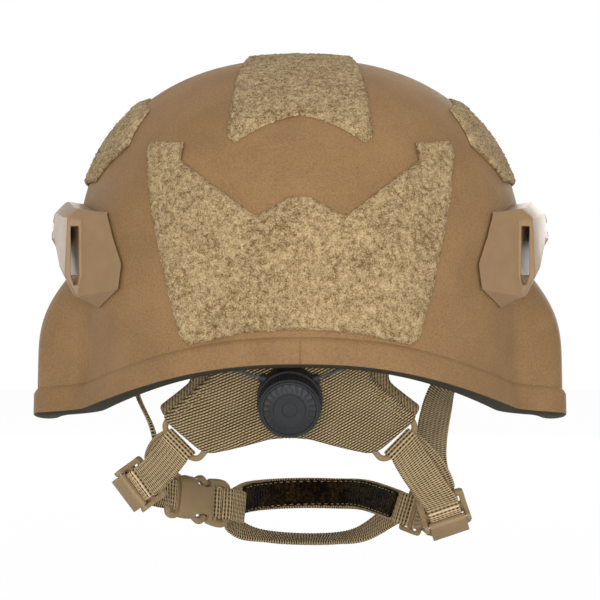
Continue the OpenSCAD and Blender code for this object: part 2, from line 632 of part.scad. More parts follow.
// Y of the shell's inner wall at the nape, at x and z
function wall_y(x, z) =
    let (g = girth(z, -shell_t), a = (dome_half_w - shell_t) * g, b = (rear_half_l - shell_t) * g)
    -b * pow(1 - pow(abs(x) / a, dome_n), 1 / dome_n);
module hanger_brackets() {
    color(BLACK) for (side = [-1, 1]) {
        x = nape_x + side * hang_u;
        translate([x - hang_half, hang_y, hang_z]) rotate([0, 90, 0])
            cylinder(d = hang_bar, h = 2 * hang_half);
        for (k = [-1, 1]) {
            ex = x + k * (hang_half - ear_t / 2);
            foot = max(wall_y(ex - ear_t / 2, hang_z), wall_y(ex + ear_t / 2, hang_z)) + wall_gap;
            translate([ex - ear_t / 2, foot, hang_z - 3]) cube([ear_t, hang_y - foot, 6]);
        }
    }
}
tab_bar = 0.5;
module nape_hanger() {
    color(WEB_TAN) for (side = [-1, 1]) {
        x = nape_x + side * hang_u;
        foot = nape(side * hang_u, 24, pad_hi - nape_pad_t / 2);
        belt([x, hang_y, hang_z], [1, 0, 0], hang_bar / 2 + seat,
            [x, foot.y, foot.z + tab_bar + web_t + seat], [1, 0, 0], tab_bar, web_w, web_t);
    }
}

// Lace: out of the dial's ports to guides on the shell's inner wall. Points chosen along the real run
PORT = [8, 8, 3.4];
port_dir = unit([0.93, 0.36, 0]);
port_l = 5;
port_end = PORT + port_dir * port_l;
function flat_nape(u, v, w) = [nape_x + u, nape_y, nape_z] + NAPE_V * v + NAPE_W * w;
// The lace's axis stands this far off the inner wall at the guides
guide_stand = 5.8;
function guide_at(x, z) = [x, wall_y(x, z) + guide_stand, z];
GUIDE_LEFT = guide_at(-58, 38.5);
GUIDE_RIGHT = guide_at(52, 39.5);
LACE_LEFT = [flat_nape(-PORT.x, PORT.y, PORT.z), flat_nape(-port_end.x, port_end.y, port_end.z),
    [-28, nape_y - 5.5, 23], [-41, nape_y - 1, 29], GUIDE_LEFT];
LACE_RIGHT = [flat_nape(PORT.x, PORT.y, PORT.z), flat_nape(port_end.x, port_end.y, port_end.z),
    [19.5, nape_y - 6.5, 24], [33, nape_y - 4.5, 30], GUIDE_RIGHT];
guide_l = 7;
guide_d = 4.4;
module lace_guide(g, before) {
    d = g - before;
    out = unit([g.x, g.y, 0]);
    reach_out = 3.2;
    orient(g, d, out) difference() {
        union() {
            translate([-guide_l / 2, 0, 0]) rotate([0, 90, 0]) cylinder(d = guide_d, h = guide_l);
            translate([-guide_l / 2, 0, -guide_d / 2]) cube([guide_l, reach_out, guide_d]);
        }
        translate([-guide_l, 0, 0]) rotate([0, 90, 0]) cylinder(d = lace_d + 0.5, h = 2 * guide_l);
    }
}
module lace_guides() {
    color(BLACK) {
        lace_guide(GUIDE_LEFT, LACE_LEFT[3]);
        lace_guide(GUIDE_RIGHT, LACE_RIGHT[3]);
    }
}
LACE_GREY = [0.25, 0.27, 0.30];
module lace_left() {
    color(LACE_GREY) tube(curve(LACE_LEFT), lace_d);
}
module lace_right() {
    color(LACE_GREY) tube(curve(LACE_RIGHT), lace_d);
}

// Fit dial on the cradle's rear face
housing_h = 7.4;
housing_wall = 2;
spool_h = 3;
pawl_h = 1.5;
teeth = 24;
tooth = 0.9;
dial_gap = 0.3;
running = 0.06;
dial_screw_d = 3;
boss_h = 2;
housing_foot = layer_gap;
spool_z = housing_foot + housing_wall + boss_h / 2;
pawl_z = spool_z + spool_h + dial_gap;
knob_z = housing_foot + housing_h + dial_gap;
knob_top = knob_z + dial_h;
chamber_r = dial_d / 2 - 1.4;
port_angle = atan2(port_dir.y, port_dir.x);
// Places children at one of the two lace ports with local +Z out of it
module on_port(side) {
    translate([side * PORT.x, PORT.y, PORT.z]) rotate([0, 90, side > 0 ? port_angle : 180 - port_angle])
        children();
}
module dial_housing() {
    color(BLACK) on_nape() difference() {
        union() {
            translate([0, 0, housing_foot]) cylinder(d = dial_d + 1.4, h = housing_h);
            for (side = [-1, 1]) on_port(side) cylinder(d = 4.4, h = port_l);
        }
        difference() {
            translate([0, 0, housing_foot + housing_wall]) cylinder(r = chamber_r, h = housing_h);
            translate([0, 0, housing_foot + housing_wall - 1]) cylinder(d = 7, h = 1 + boss_h / 2 - 0.1);
            translate([0, 0, pawl_z]) linear_extrude(pawl_h + 0.2) difference() {
                circle(r = chamber_r + 0.5);
                polygon([for (k = [0:2 * teeth - 1])
                    let (r = chamber_r - (k % 2) * tooth, a = 180 * k / teeth) [r * cos(a), r * sin(a)]]);
            }
        }
        translate([0, 0, -1]) cylinder(d = dial_screw_d + 2 * running, h = 6);
        for (side = [-1, 1]) on_port(side) translate([0, 0, -3]) cylinder(d = lace_d + 0.6, h = port_l + 6);
    }
}
module lace_spool() {
    color(BLACK * 2) on_nape() translate([0, 0, spool_z]) difference() {
        union() {
            cylinder(r = 6, h = spool_h);
            cylinder(r = 8, h = 0.7);
            translate([0, 0, spool_h - 0.7]) cylinder(r = 8, h = 0.7);
        }
        translate([0, 0, -1]) cylinder(d = dial_screw_d + 2 * running, h = spool_h + 2);
    }
}
pawl_r = chamber_r - tooth - dial_gap;
module pawl_ring() {
    color(BLACK * 3) on_nape() translate([0, 0, pawl_z]) difference() {
        linear_extrude(pawl_h - 0.3) union() {
            circle(r = 7);
            for (k = [0:2]) rotate(120 * k) intersection() {
                difference() {
                    circle(r = pawl_r);
                    circle(r = pawl_r - 1.4);
                }
                polygon([[0, 0], [20, 0], [14, 16], [6, 18]]);
            }
            for (k = [0:2]) rotate(120 * k) translate([5, -0.1]) square([pawl_r - 5.8, 2]);
        }
        translate([0, 0, -1]) cylinder(d = dial_screw_d + 2 * running, h = 5);
    }
}
knurls = 60;
knurl = 0.35;
cap_r = dial_d / 2 - 2;
cap_t = 1.2;
head_d = 5.6;
head_h = 1.8;
head_z = knob_top - cap_t - 2.4;
module dial_knob() {
    color(BLACK * 1.4) on_nape() difference() {
        union() {
            translate([0, 0, knob_z]) linear_extrude(dial_h - 0.8) polygon([for (k = [0:2 * knurls - 1])
                let (r = dial_d / 2 - (k % 2) * knurl, a = 180 * k / knurls) [r * cos(a), r * sin(a)]]);
            translate([0, 0, knob_top - 0.8]) cylinder(d1 = dial_d - 4 * knurl, d2 = dial_d - 2.4, h = 0.8);
            translate([0, 0, pawl_z + pawl_h - 0.3 + 0.02]) cylinder(r = 4.5, h = 4);
        }
        translate([0, 0, knob_z - 0.1]) difference() {
            cylinder(r = cap_r - 1, h = 3.6);
            cylinder(r = 4.5, h = 5);
        }
        translate([0, 0, knob_top - cap_t]) cylinder(r = cap_r + 0.1, h = 3);
        translate([0, 0, head_z]) cylinder(d = head_d + 0.6, h = 5);
        translate([0, 0, -1]) cylinder(d = dial_screw_d + 2 * running, h = 30);
    }
}
// Plain raised ring and boss on the cap
cap_relief = 0.5;
cap_edge = 1.6;
cap_boss_r = 3;
module dial_cap() {
    color(BLACK * 2) on_nape() translate([0, 0, knob_top - cap_t + 0.02]) {
        cylinder(r = cap_r, h = cap_t - 0.02);
        translate([0, 0, cap_t - 0.02]) linear_extrude(cap_relief) {
            circle(r = cap_boss_r);
            difference() {
                circle(r = cap_r - cap_edge);
                circle(r = cap_r - 2 * cap_edge);
            }
        }
    }
}
module dial_screw() {
    foot = housing_foot + 0.2;
    color(BLACK * 4) on_nape() {
        translate([0, 0, foot]) cylinder(d = dial_screw_d, h = head_z - foot + 0.1);
        translate([0, 0, head_z + 0.1]) cylinder(d = head_d, h = head_h);
    }
}

// Strap adjusters: a frame with three bars, two ears, a pin and a cam lever. Own frame: x along the bars,
// y along the strap away from the cradle, z out of the outer face
ADJUSTER = [[-72, -52, -30], [65.5, -51, -43]];
BAR_DIR = [[-0.6, 0, 0.8], [-0.95, 0, -0.32]];
function half(side) = side < 0 ? 0 : 1;
function adj_centre(side) = ADJUSTER[half(side)];
function adj_run(side) = unit(adj_centre(side) - ring_centre(side));
function adj_point(side, q) = placed(adj_centre(side), BAR_DIR[half(side)], adj_run(side), q);
module on_adjuster(side) {
    orient(adj_centre(side), BAR_DIR[half(side)], adj_run(side)) children();
}
frame_w = web_w + 7;
frame_l = 22;
frame_t = 2.6;
bar_w = 3;
window_h = 5.8;
window_w = web_w + 2;
bar_y = (frame_l - bar_w) / 2;
lever_y = 1.5;
lever_z = 5.3;
pin_d = 2;
cam_r = 1.9;
lug_t = 2;
lug_x = frame_w / 2 - lug_t;
module adjuster(side) {
    on_adjuster(side) difference() {
        union() {
            translate([0, 0, -frame_t / 2]) linear_extrude(frame_t) rounded(2)
                square([frame_w, frame_l], center = true);
            for (k = [0, 1]) translate([k == 0 ? -frame_w / 2 : lug_x, lever_y, 0]) {
                translate([0, -2.2, 0]) cube([lug_t, 4.4, lever_z]);
                translate([0, 0, lever_z]) rotate([0, 90, 0]) cylinder(d = 4.4, h = lug_t);
            }
        }
        for (k = [-1, 1]) translate([-window_w / 2, k * frame_l / 4 - window_h / 2, -frame_t])
            cube([window_w, window_h, 2 * frame_t]);
        translate([-frame_w, lever_y, lever_z]) rotate([0, 90, 0])
            cylinder(d = pin_d + 0.04, h = 2 * frame_w);
    }
}
module adjuster_left() {
    color(RAIL_TAN) adjuster(-1);
}
module adjuster_right() {
    color(RAIL_TAN) adjuster(1);
}
module cam_pins() {
    color(BLACK * 4) for (side = [-1, 1]) on_adjuster(side)
        translate([-frame_w / 2, lever_y, lever_z]) rotate([0, 90, 0]) cylinder(d = pin_d, h = frame_w);
}
lever_l = 8.5;
lever_r = 40;
lever_t = 1.5;
module cam_lever(side) {
    half_w = lug_x - 0.4;
    on_adjuster(side) translate([0, lever_y, lever_z]) difference() {
        union() {
            translate([-half_w, 0, 0]) rotate([0, 90, 0]) cylinder(r = cam_r, h = 2 * half_w);
            intersection() {
                translate([-half_w, 0, cam_r - lever_r]) rotate([0, 90, 0]) difference() {
                    cylinder(r = lever_r, h = 2 * half_w, $fn = 96);
                    translate([0, 0, -1]) cylinder(r = lever_r - lever_t, h = 2 * half_w + 2, $fn = 96);
                }
                translate([-half_w, 0, -8]) cube([2 * half_w, lever_l, 12]);
            }
        }
        translate([-frame_w, 0, 0]) rotate([0, 90, 0]) cylinder(d = pin_d + 0.08, h = 2 * frame_w);
    }
}
module cam_lever_left() {
    color(RAIL_TAN * 1.1) cam_lever(-1);
}
module cam_lever_right() {
    color(RAIL_TAN * 1.1) cam_lever(1);
}
bar_r = 2.3;
module rear_strap(side) {
    color(WEB_TAN * 1.1) belt(ring_centre(side), ring_dir(side), ring_bar / 2 + seat,
        adj_point(side, [0, -bar_y, 0]), side * BAR_DIR[half(side)] * -1, bar_r, web_w, web_t);
}
module rear_strap_left() {
    rear_strap(-1);
}
module rear_strap_right() {
    rear_strap(1);
}

// Side straps: from an eyelet under the front rail screw down to the adjuster
eyelet_d = 7.4;
function anchor(side, drop, o) =
    let (p = surf(rail_screw_t, rail_screw_z - drop, -shell_t - o)) [side * p.x, p.y, p.z];
anchor_o = strap_gap + web_t / 2;
// The strap's turn over the adjuster's middle bar, under the cam, then its short tail
wrap_y = frame_l / 4 - window_h / 2 + seat + web_t / 2;
wrap_z = frame_t / 2 + seat + web_t / 2;
WRAP = [[0, wrap_y - 3.9, -9], [0, wrap_y, -2], [0, wrap_y - 0.3, wrap_z - 0.3], [0, 0, wrap_z],
    [0, 0.3 - wrap_y, wrap_z - 0.3], [0, -wrap_y, -2], [0, -wrap_y - 0.2, -8]];
function side_line(side, ps) = concat([anchor(side, -9, anchor_o), anchor(side, 12, anchor_o + 0.1)], ps,
    [for (q = WRAP) adj_point(side, q)]);
SIDE_LEFT = side_line(-1, [[-90, 24, 56], [-83, 14, 28], [-76.5, 4, 8], [-67.5, -39, -8]]);
SIDE_RIGHT = side_line(1, [[89, 24, 56], [79, 14, 32], [66.5, 2, 8], [60.5, -30, -16]]);
// Places children on the side strap's screw, seen from outside
module on_anchor(side) {
    mirror([side < 0 ? 1 : 0, 0, 0]) on_shell(rail_screw_t, rail_screw_z) children();
}
// Width of the strap: along Y at the screw, turned to the adjuster's bars over a share of its length
SIDE_TURN = [[0.42, 0.1], [0.24, 0.16]];
module side_ribbon(side, ps) {
    n = len(ps) - 1;
    w1 = BAR_DIR[half(side)] * -1;
    share = SIDE_TURN[half(side)];
    function turn(i) = smooth((i / n - share[0]) / share[1]);
    through([for (i = [0:n])
        let (t = unit(ps[min(n, i + 1)] - ps[max(0, i - 1)]),
            w = second(t, mix([0, 1, 0], w1, turn(i))))
        strap_ring(ps[i], cross(t, w), w, web_w, web_t)]);
}
module side_strap(side, ps) {
    color(WEB_TAN) difference() {
        side_ribbon(side, curve(ps, 3));
        on_anchor(side) translate([0, 0, -shell_t - 8]) cylinder(d = eyelet_d + 0.6, h = 8);
    }
}
module side_strap_left() {
    side_strap(-1, SIDE_LEFT);
}
module side_strap_right() {
    side_strap(1, SIDE_RIGHT);
}
module strap_eyelets() {
    color(BLACK) for (side = [-1, 1]) on_anchor(side) difference() {
        translate([0, 0, -eyelet_o]) {
            cylinder(d = eyelet_d, h = eyelet_o - shell_t - 2 * seat);
            cylinder(d = 12, h = flange_t);
        }
        translate([0, 0, -20]) cylinder(d = screw_d + 0.3, h = 20);
    }
}

// Chin buckle. Own frame: x from the plug's strap bar to the socket's, y across, z through the thickness
BUCKLE_FROM = [-60, -34, -36];
BUCKLE_TO = [-34, -6, -43];
BUCKLE_UP = [0.1, 0.25, 1];
module on_buckle() {
    orient(BUCKLE_FROM, BUCKLE_TO - BUCKLE_FROM, BUCKLE_UP) children();
}
function buckle_point(q) = placed(BUCKLE_FROM, BUCKLE_TO - BUCKLE_FROM, BUCKLE_UP, q);
plug_l = 8;
plug_t = socket_t - 3;
plug_bar = 3;
socket_w = web_w + 5;
socket_x = 13;
cavity_l = socket_l - 9;
socket_wall = 1.4;
window_x = socket_x + 7;
window_l = 7.5;
arm_y = 6.6;
arm_w = 2.4;
arm_t = plug_t - 2;
arm_gap = 0.3;
hinge_x = plug_l + 1.4;
hinge_d = 2;
hinge_r = 1.7;
tongue_w = 2.2;
end_bar_d = 3;
end_bar_x = socket_x + socket_l - end_bar_d / 2;
module buckle_plug() {
    rail_y = socket_w / 2 - 2;
    color(BLACK * 2) on_buckle() difference() {
        union() {
            translate([4, -socket_w / 2, -plug_t / 2]) cube([plug_l - 4, socket_w, plug_t]);
            for (k = [-1, 1]) translate([0, k * (rail_y + 1) - 1, -plug_t / 2]) cube([plug_l, 2, plug_t]);
            translate([0, -rail_y - 1, 0]) rotate([-90, 0, 0]) cylinder(d = plug_bar, h = 2 * rail_y + 2);
            translate([plug_l - 1, -tongue_w / 2, -plug_t / 2])
                cube([socket_x + cavity_l - 3 - plug_l, tongue_w, plug_t]);
            for (k = [-1, 1]) translate([plug_l - 1, k * arm_y - 2.4, -plug_t / 2]) cube([4.4, 4.8, plug_t]);
        }
        for (k = [-1, 1]) {
            translate([hinge_x - hinge_r - arm_gap, k * arm_y - 4, -arm_t / 2 - arm_gap / 2])
                cube([8, 8, arm_t + arm_gap]);
            translate([hinge_x, k * arm_y, -plug_t]) cylinder(d = hinge_d + 0.04, h = 2 * plug_t);
        }
    }
}
module latch_arm(k) {
    barb = window_x + 0.5;
    tip = barb + 6;
    color(BLACK * 2) on_buckle() {
        translate([hinge_x, k * arm_y, -arm_t / 2]) cylinder(r = hinge_r, h = arm_t);
        translate([hinge_x, k * arm_y, -plug_t / 2 + 0.05]) cylinder(d = hinge_d, h = plug_t - 0.1);
        translate([0, 0, -arm_t / 2]) linear_extrude(arm_t)
            polygon([[hinge_x, k * (arm_y - 1.2)], [hinge_x, k * (arm_y + 1.2)], [barb, k * (arm_y + 0.6)],
                [barb, k * (socket_w / 2 - 0.5)], [barb + 2, k * (socket_w / 2 - 0.3)], [tip, k * arm_y],
                [tip, k * (arm_y - arm_w)], [tip - 8, k * (arm_y - arm_w + 0.6)]]);
    }
}
module latch_arm_upper() {
    latch_arm(1);
}
module latch_arm_lower() {
    latch_arm(-1);
}
module buckle_socket() {
    color(RAIL_TAN) on_buckle() difference() {
        translate([socket_x, 0, 0]) rotate([90, 0, 90]) linear_extrude(socket_l) rounded(2)
            square([socket_w, socket_t], center = true);
        translate([socket_x - 1, -socket_w / 2 + socket_wall, -plug_t / 2 - arm_gap])
            cube([cavity_l + 1, socket_w - 2 * socket_wall, plug_t + 2 * arm_gap]);
        translate([window_x, -socket_w, -plug_t / 2]) cube([window_l, 2 * socket_w, plug_t]);
        translate([socket_x + cavity_l + 1.4, -web_w / 2 - 0.5, -socket_t])
            cube([20, web_w + 1, 2 * socket_t]);
    }
    color(RAIL_TAN) on_buckle() translate([end_bar_x, -socket_w / 2 + 1, 0]) rotate([-90, 0, 0])
        cylinder(d = end_bar_d, h = socket_w - 2);
}
// The buckle draws the strap aside, so it sits off the bar's middle
plug_shift = 1.7;
module plug_strap() {
    color(WEB_TAN) belt(adj_point(-1, [plug_shift, bar_y, 0]), -BAR_DIR[0], bar_r,
        buckle_point([0, 0, 0]), second(BUCKLE_TO - BUCKLE_FROM, BUCKLE_UP) * -1, plug_bar / 2 + seat,
        web_w - 1.6, web_t);
}

// Chin straps, from the socket's bars to the slider on the right
SLIDER = [53.5, -19, -45.5];
SLIDER_RUN = [20, -29, -8];
slider_l = 14;
slider_t = 2.6;
slider_bar = 1.4;
SLIDER_UP = [0.3, 0, 1];
function slider_point(q) = placed(SLIDER, SLIDER_UP, SLIDER_RUN, q);
chin_t = 2;
// A strap's end turned round a bar: out along the bar's far side and back, in the plane of x and z
function turned(x, r, l) = let (h = chin_t / 2 + 0.15, m = mix(h, r, 0.6))
    [[x + l, h], [x + 0.45 * l, m], [x, r], [x - r, 0], [x, -r], [x + 0.45 * l, -m]];
socket_turn_r = end_bar_d / 2 + 2 * seat + chin_t / 2;
slider_bar_y = (slider_l - slider_bar) / 2;
slider_turn_r = norm([slider_bar, slider_t]) / 2 + 2 * seat + chin_t / 2;
CHIN_FRONT = concat([for (q = turned(end_bar_x, socket_turn_r, 12)) buckle_point([q.x, 0, q.y])],
    [[-26, 16, -41], [-14, 33, -40.5], [2, 39, -40.3], [18, 35, -40.3], [31, 19.5, -40]],
    [for (q = turned(slider_bar_y, slider_turn_r, 9)) slider_point([0, -q.x, -q.y])]);
CHIN_LOWER = [buckle_point([43.5, -2.5, -5.4]), buckle_point([49.5, -5.5, -8.4]), [-27, 14, -56.5],
    [-15, 21, -60], [1, 25, -61.5], [18, 22, -60.8], [31, 13, -57], slider_point([-5.5, -21, 4.2]),
    slider_point([-2.5, -14.5, 2])];
lining_t = 1.4;
LINING_TRIM = [23, 20];
module chin_strap_front() {
    color(WEB_TAN) ribbon(curve(CHIN_FRONT), BUCKLE_UP, SLIDER_UP, web_w, chin_t);
}
module chin_lining() {
    color([0.16, 0.11, 0.05]) ribbon(curve(CHIN_FRONT), BUCKLE_UP, SLIDER_UP, web_w - 1, lining_t,
        lift = (chin_t + lining_t) / 2 + seat, trim = LINING_TRIM);
}
module chin_strap_lower() {
    ps = curve(CHIN_LOWER, 3);
    n = len(ps) - 1;
    // The strap lies flat under the chin and turns upright to its stitched ends
    function width_dir(i) = mix([0, 0.25, 1], [0, 0.95, 0.3], smooth(3.6 * min(i, n - i) / n - 0.3));
    color(WEB_TAN) through([for (i = [0:n])
        let (t = unit(ps[min(n, i + 1)] - ps[max(0, i - 1)]), w = second(t, width_dir(i)))
        strap_ring(ps[i], cross(t, w), w, web_w - 3, chin_t)]);
}
slider_mid = 1;
slider_window = slider_l / 2 - slider_bar - slider_mid;
module chin_slider() {
    color(RAIL_TAN) orient(SLIDER, SLIDER_UP, SLIDER_RUN) translate([0, 0, -slider_t / 2])
        linear_extrude(slider_t) difference() {
            rounded(2) square([web_w + 5, slider_l], center = true);
            for (k = [-1, 1]) translate([0, k * (slider_mid + slider_window / 2)])
                square([web_w + 1, slider_window], center = true);
        }
}
module chin_tail() {
    color(WEB_TAN) belt(slider_point([0, slider_bar_y, 0]), SLIDER_UP, 1.9,
        adj_point(1, [0, bar_y, 0]), -BAR_DIR[1], bar_r, web_w - 0.6, web_t);
}
shell();
edge_trim();
loop_rear();
loop_top();
loop_left();
loop_right();
loop_front();
rail_left();
rail_right();
rail_screws();
rail_nuts();
shroud();
shroud_screws();
shroud_nuts();
pad_front();
pad_crown();
pad_rear();
pad_left_front();
pad_left_rear();
pad_right_front();
pad_right_rear();
hook_discs();
hanger_brackets();
lace_guides();
lace_left();
lace_right();
nape_pad();
nape_cover();
nape_yoke();
nape_hanger();
dial_housing();
rear_strap_left();
rear_strap_right();
dial_knob();
dial_cap();
pawl_ring();
lace_spool();
dial_screw();
side_strap_left();
side_strap_right();
strap_eyelets();
adjuster_left();
adjuster_right();
cam_pins();
cam_lever_left();
cam_lever_right();
plug_strap();
buckle_plug();
buckle_socket();
latch_arm_upper();
latch_arm_lower();
chin_strap_front();
chin_lining();
chin_strap_lower();
chin_slider();
chin_tail();
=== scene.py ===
import json
import math

import bmesh
import bpy
import numpy as np
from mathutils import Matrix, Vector
from mathutils.geometry import delaunay_2d_cdt

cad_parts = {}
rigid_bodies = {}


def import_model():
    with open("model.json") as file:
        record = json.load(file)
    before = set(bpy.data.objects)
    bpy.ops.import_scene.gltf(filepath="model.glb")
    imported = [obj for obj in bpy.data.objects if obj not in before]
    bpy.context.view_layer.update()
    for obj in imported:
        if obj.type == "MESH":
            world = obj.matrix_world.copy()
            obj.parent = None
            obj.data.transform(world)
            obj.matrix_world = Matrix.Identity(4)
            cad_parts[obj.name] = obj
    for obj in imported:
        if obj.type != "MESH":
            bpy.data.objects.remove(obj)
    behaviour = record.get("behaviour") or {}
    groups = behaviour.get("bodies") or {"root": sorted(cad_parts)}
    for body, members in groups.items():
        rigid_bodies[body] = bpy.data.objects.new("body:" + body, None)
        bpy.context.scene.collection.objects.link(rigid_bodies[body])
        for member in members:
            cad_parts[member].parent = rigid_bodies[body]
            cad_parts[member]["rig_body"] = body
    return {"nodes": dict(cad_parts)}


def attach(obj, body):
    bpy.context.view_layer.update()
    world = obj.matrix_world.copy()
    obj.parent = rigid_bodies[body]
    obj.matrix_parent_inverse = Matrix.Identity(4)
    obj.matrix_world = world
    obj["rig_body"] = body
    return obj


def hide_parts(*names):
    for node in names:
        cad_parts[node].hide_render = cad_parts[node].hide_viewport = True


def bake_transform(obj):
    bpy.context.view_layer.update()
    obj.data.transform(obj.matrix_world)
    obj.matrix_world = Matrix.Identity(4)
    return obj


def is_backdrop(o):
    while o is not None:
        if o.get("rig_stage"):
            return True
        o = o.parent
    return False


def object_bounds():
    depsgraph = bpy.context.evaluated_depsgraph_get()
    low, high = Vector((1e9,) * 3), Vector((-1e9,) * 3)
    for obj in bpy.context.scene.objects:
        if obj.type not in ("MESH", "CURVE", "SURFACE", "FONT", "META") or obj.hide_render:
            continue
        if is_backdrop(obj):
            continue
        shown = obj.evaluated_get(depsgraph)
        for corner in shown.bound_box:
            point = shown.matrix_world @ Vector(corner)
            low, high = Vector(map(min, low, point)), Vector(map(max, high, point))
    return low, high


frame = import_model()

cad_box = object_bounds()

# Lengths are millimetres in the part's frame until a mesh is made
MM = 0.001

# Shell: half width and half lengths at the waist, rise of the dome above it, squareness of its outline
dome_half_w = 104
rear_half_l = 134
front_half_l = 137
dome_rise = 96
waist_z = 70
dome_n = 2.3
shell_t = 8.5

# Ear covers: how far they stand out, where they begin and end along y, and the height in which they swell
ear_out = 17.3
ear_back = -40
ear_front = 46
ear_fade = 28
ear_drop = 45

# Rim: the shell's flare towards it, its height at the middle of the rear and of the brow, the straight share
# of its rise at the rear, and where its rise to the brow starts and ends along y
rim_flare = 0.015
rim_rear_z = 27
rim_slope = 0.25
rim_front_z = 48
brow_start = 40
brow_end = 94

# Edging, loop panels and webbing
trim_h = 10
trim_t = 1.6
loop_gap = 0.35
loop_t = 2.4
web_w = 15
web_t = 1.6

# Room between webbing and the bar that it turns round
seat = 0.3


# Vectors
def vec(*v):
    return np.array(v, float)


def unit(v):
    v = np.asarray(v, float)
    return v / np.linalg.norm(v, axis=-1, keepdims=True)


def mix(a, b, t):
    return a + (b - a) * t


def smooth(v):
    c = np.clip(v, 0, 1)
    return c * c * (3 - 2 * c)


def second(u, v):
    """The direction square to u that lies nearest to v."""
    u = unit(u)
    return unit(v - np.sum(v * u, -1, keepdims=True) * u)


def placed(p, u, v, q):
    """The point q in the frame at p with its axes along u and near v."""
    a, b = unit(u), second(u, v)
    return p + a * q[0] + b * q[1] + np.cross(a, b) * q[2]


def curve(points, n):
    """Smooth line through points, n steps between two."""
    points = np.asarray(points, float)
    last = len(points) - 1
    line = []
    for i in range(last):
        a, b, c, d = points[max(0, i - 1)], points[i], points[i + 1], points[min(last, i + 2)]
        for t in np.arange(n) / n:
            line.append(0.5 * (2 * b + (c - a) * t + (2 * a - 5 * b + 4 * c - d) * t ** 2
                               + (3 * b - a - 3 * c + d) * t ** 3))
    return np.array(line + [points[last]])


# The shell's surfaces: azimuth t in degrees, height z, offset o outward from the outer face
def reach(t, o):
    c, s = np.abs(np.cos(np.radians(t))), np.sin(np.radians(t))
    half_l = np.where(s < 0, rear_half_l, front_half_l) + o
    return ((c / (dome_half_w + o)) ** dome_n + (np.abs(s) / half_l) ** dome_n) ** (-1 / dome_n)


def arched(share):
    """What is left of one half measure of the dome at a share of the other."""
    return np.maximum(0, 1 - share ** dome_n) ** (1 / dome_n)


def girth(z, o):
    """Share of the waist's size that the shell has at height z."""
    over = arched(np.maximum(0, z - waist_z) / (dome_rise + o))
    return np.where(z > waist_z, over, 1 + rim_flare * (waist_z - z) / waist_z)


def ear_height(z):
    s = np.clip((waist_z - z) / ear_drop, 0, 1)
    return 1 - (1 - s ** 1.2) ** 3


def ear_length(y, o):
    return (smooth((y - ear_back + ear_fade + 0.6 * o) / ear_fade)
            * smooth((ear_front + ear_fade - y + 0.6 * o) / ear_fade))


def surf(t, z, o):
    """Points of the shell, ear covers included."""
    t, z, o = np.broadcast_arrays(np.asarray(t, float), np.asarray(z, float), np.asarray(o, float))
    r = reach(t, o) * girth(z, o)
    x, y = r * np.cos(np.radians(t)), r * np.sin(np.radians(t))
    return np.stack([x + np.sign(x) * ear_out * ear_height(z - 0.6 * o) * ear_length(y, o), y, z], -1)


def rim_z(t):
    """Height of the rim."""
    y = reach(t, 0) * np.sin(np.radians(t))
    s = np.maximum(0, -y / rear_half_l)
    back = rim_rear_z * (rim_slope * s + (1 - rim_slope) * s ** 3)
    return np.where(y < 0, back, rim_front_z * smooth((y - brow_start) / (brow_end - brow_start)))


def dome_height(angle, o):
    """Height of the dome at an angle above the waist, in degrees."""
    return waist_z + (dome_rise + o) * np.sin(np.radians(angle)) ** (2 / dome_n)


def section(z, o):
    """Half width, rear half length and front half length at height z."""
    g = girth(z, o)
    return (dome_half_w + o) * g, (rear_half_l + o) * g, (front_half_l + o) * g


def on_back(p, o):
    """Points of the shell's rear at x and z, offset o."""
    half_w, back, _ = section(p[:, 1], o)
    return np.stack([p[:, 0], -back * arched(np.abs(p[:, 0]) / half_w), p[:, 1]], -1)


def on_brow(p, o):
    """Points of the shell's front at x and z, offset o."""
    half_w, _, front = section(p[:, 1], o)
    return np.stack([p[:, 0], front * arched(np.abs(p[:, 0]) / half_w), p[:, 1]], -1)


def on_side(p, o):
    """Points of the shell's right side at y and z, offset o."""
    half_w, back, front = section(p[:, 1], o)
    half_l = np.where(p[:, 0] < 0, back, front)
    return np.stack([half_w * arched(np.abs(p[:, 0]) / half_l), p[:, 0], p[:, 1]], -1)


def on_crown(p, o):
    """Points of the dome at x and y, offset o."""
    half_l = np.where(p[:, 1] < 0, rear_half_l, front_half_l) + o
    g = (np.abs(p[:, 0]) / (dome_half_w + o)) ** dome_n + (np.abs(p[:, 1]) / half_l) ** dome_n
    z = waist_z + (dome_rise + o) * np.maximum(0, 1 - g) ** (1 / dome_n)
    return np.stack([p[:, 0], p[:, 1], z], -1)


# Shader building
class Value:
    """A value in a finish. Arithmetic on it adds the Math nodes that work it out."""

    def __init__(self, finish, socket):
        self.finish = finish
        self.socket = socket

    def math(self, operation, *others):
        values = dict(enumerate((self, *others)))
        return self.finish.node("ShaderNodeMath", {"operation": operation}, values)

    def __add__(self, other):
        return self.math("ADD", other)

    def __sub__(self, other):
        return self.math("SUBTRACT", other)

    def __rsub__(self, other):
        return self.math("MULTIPLY", -1) + other

    def __mul__(self, other):
        return self.math("MULTIPLY", other)

    def __truediv__(self, other):
        return self.math("DIVIDE", other)

    __radd__ = __add__
    __rmul__ = __mul__

    def sine(self):
        return self.math("SINE")

    def clamped(self, low, high):
        """0 at low, 1 at high, even between."""
        return self.finish.node("ShaderNodeMapRange", {}, {"Value": self, "From Min": low, "From Max": high})


def paint(red, green, blue):
    """Linear colour of an sRGB one given from 0 to 255."""
    parts = [c / 255 for c in (red, green, blue)]
    return [c / 12.92 if c < 0.04045 else ((c + 0.055) / 1.055) ** 2.4 for c in parts] + [1]


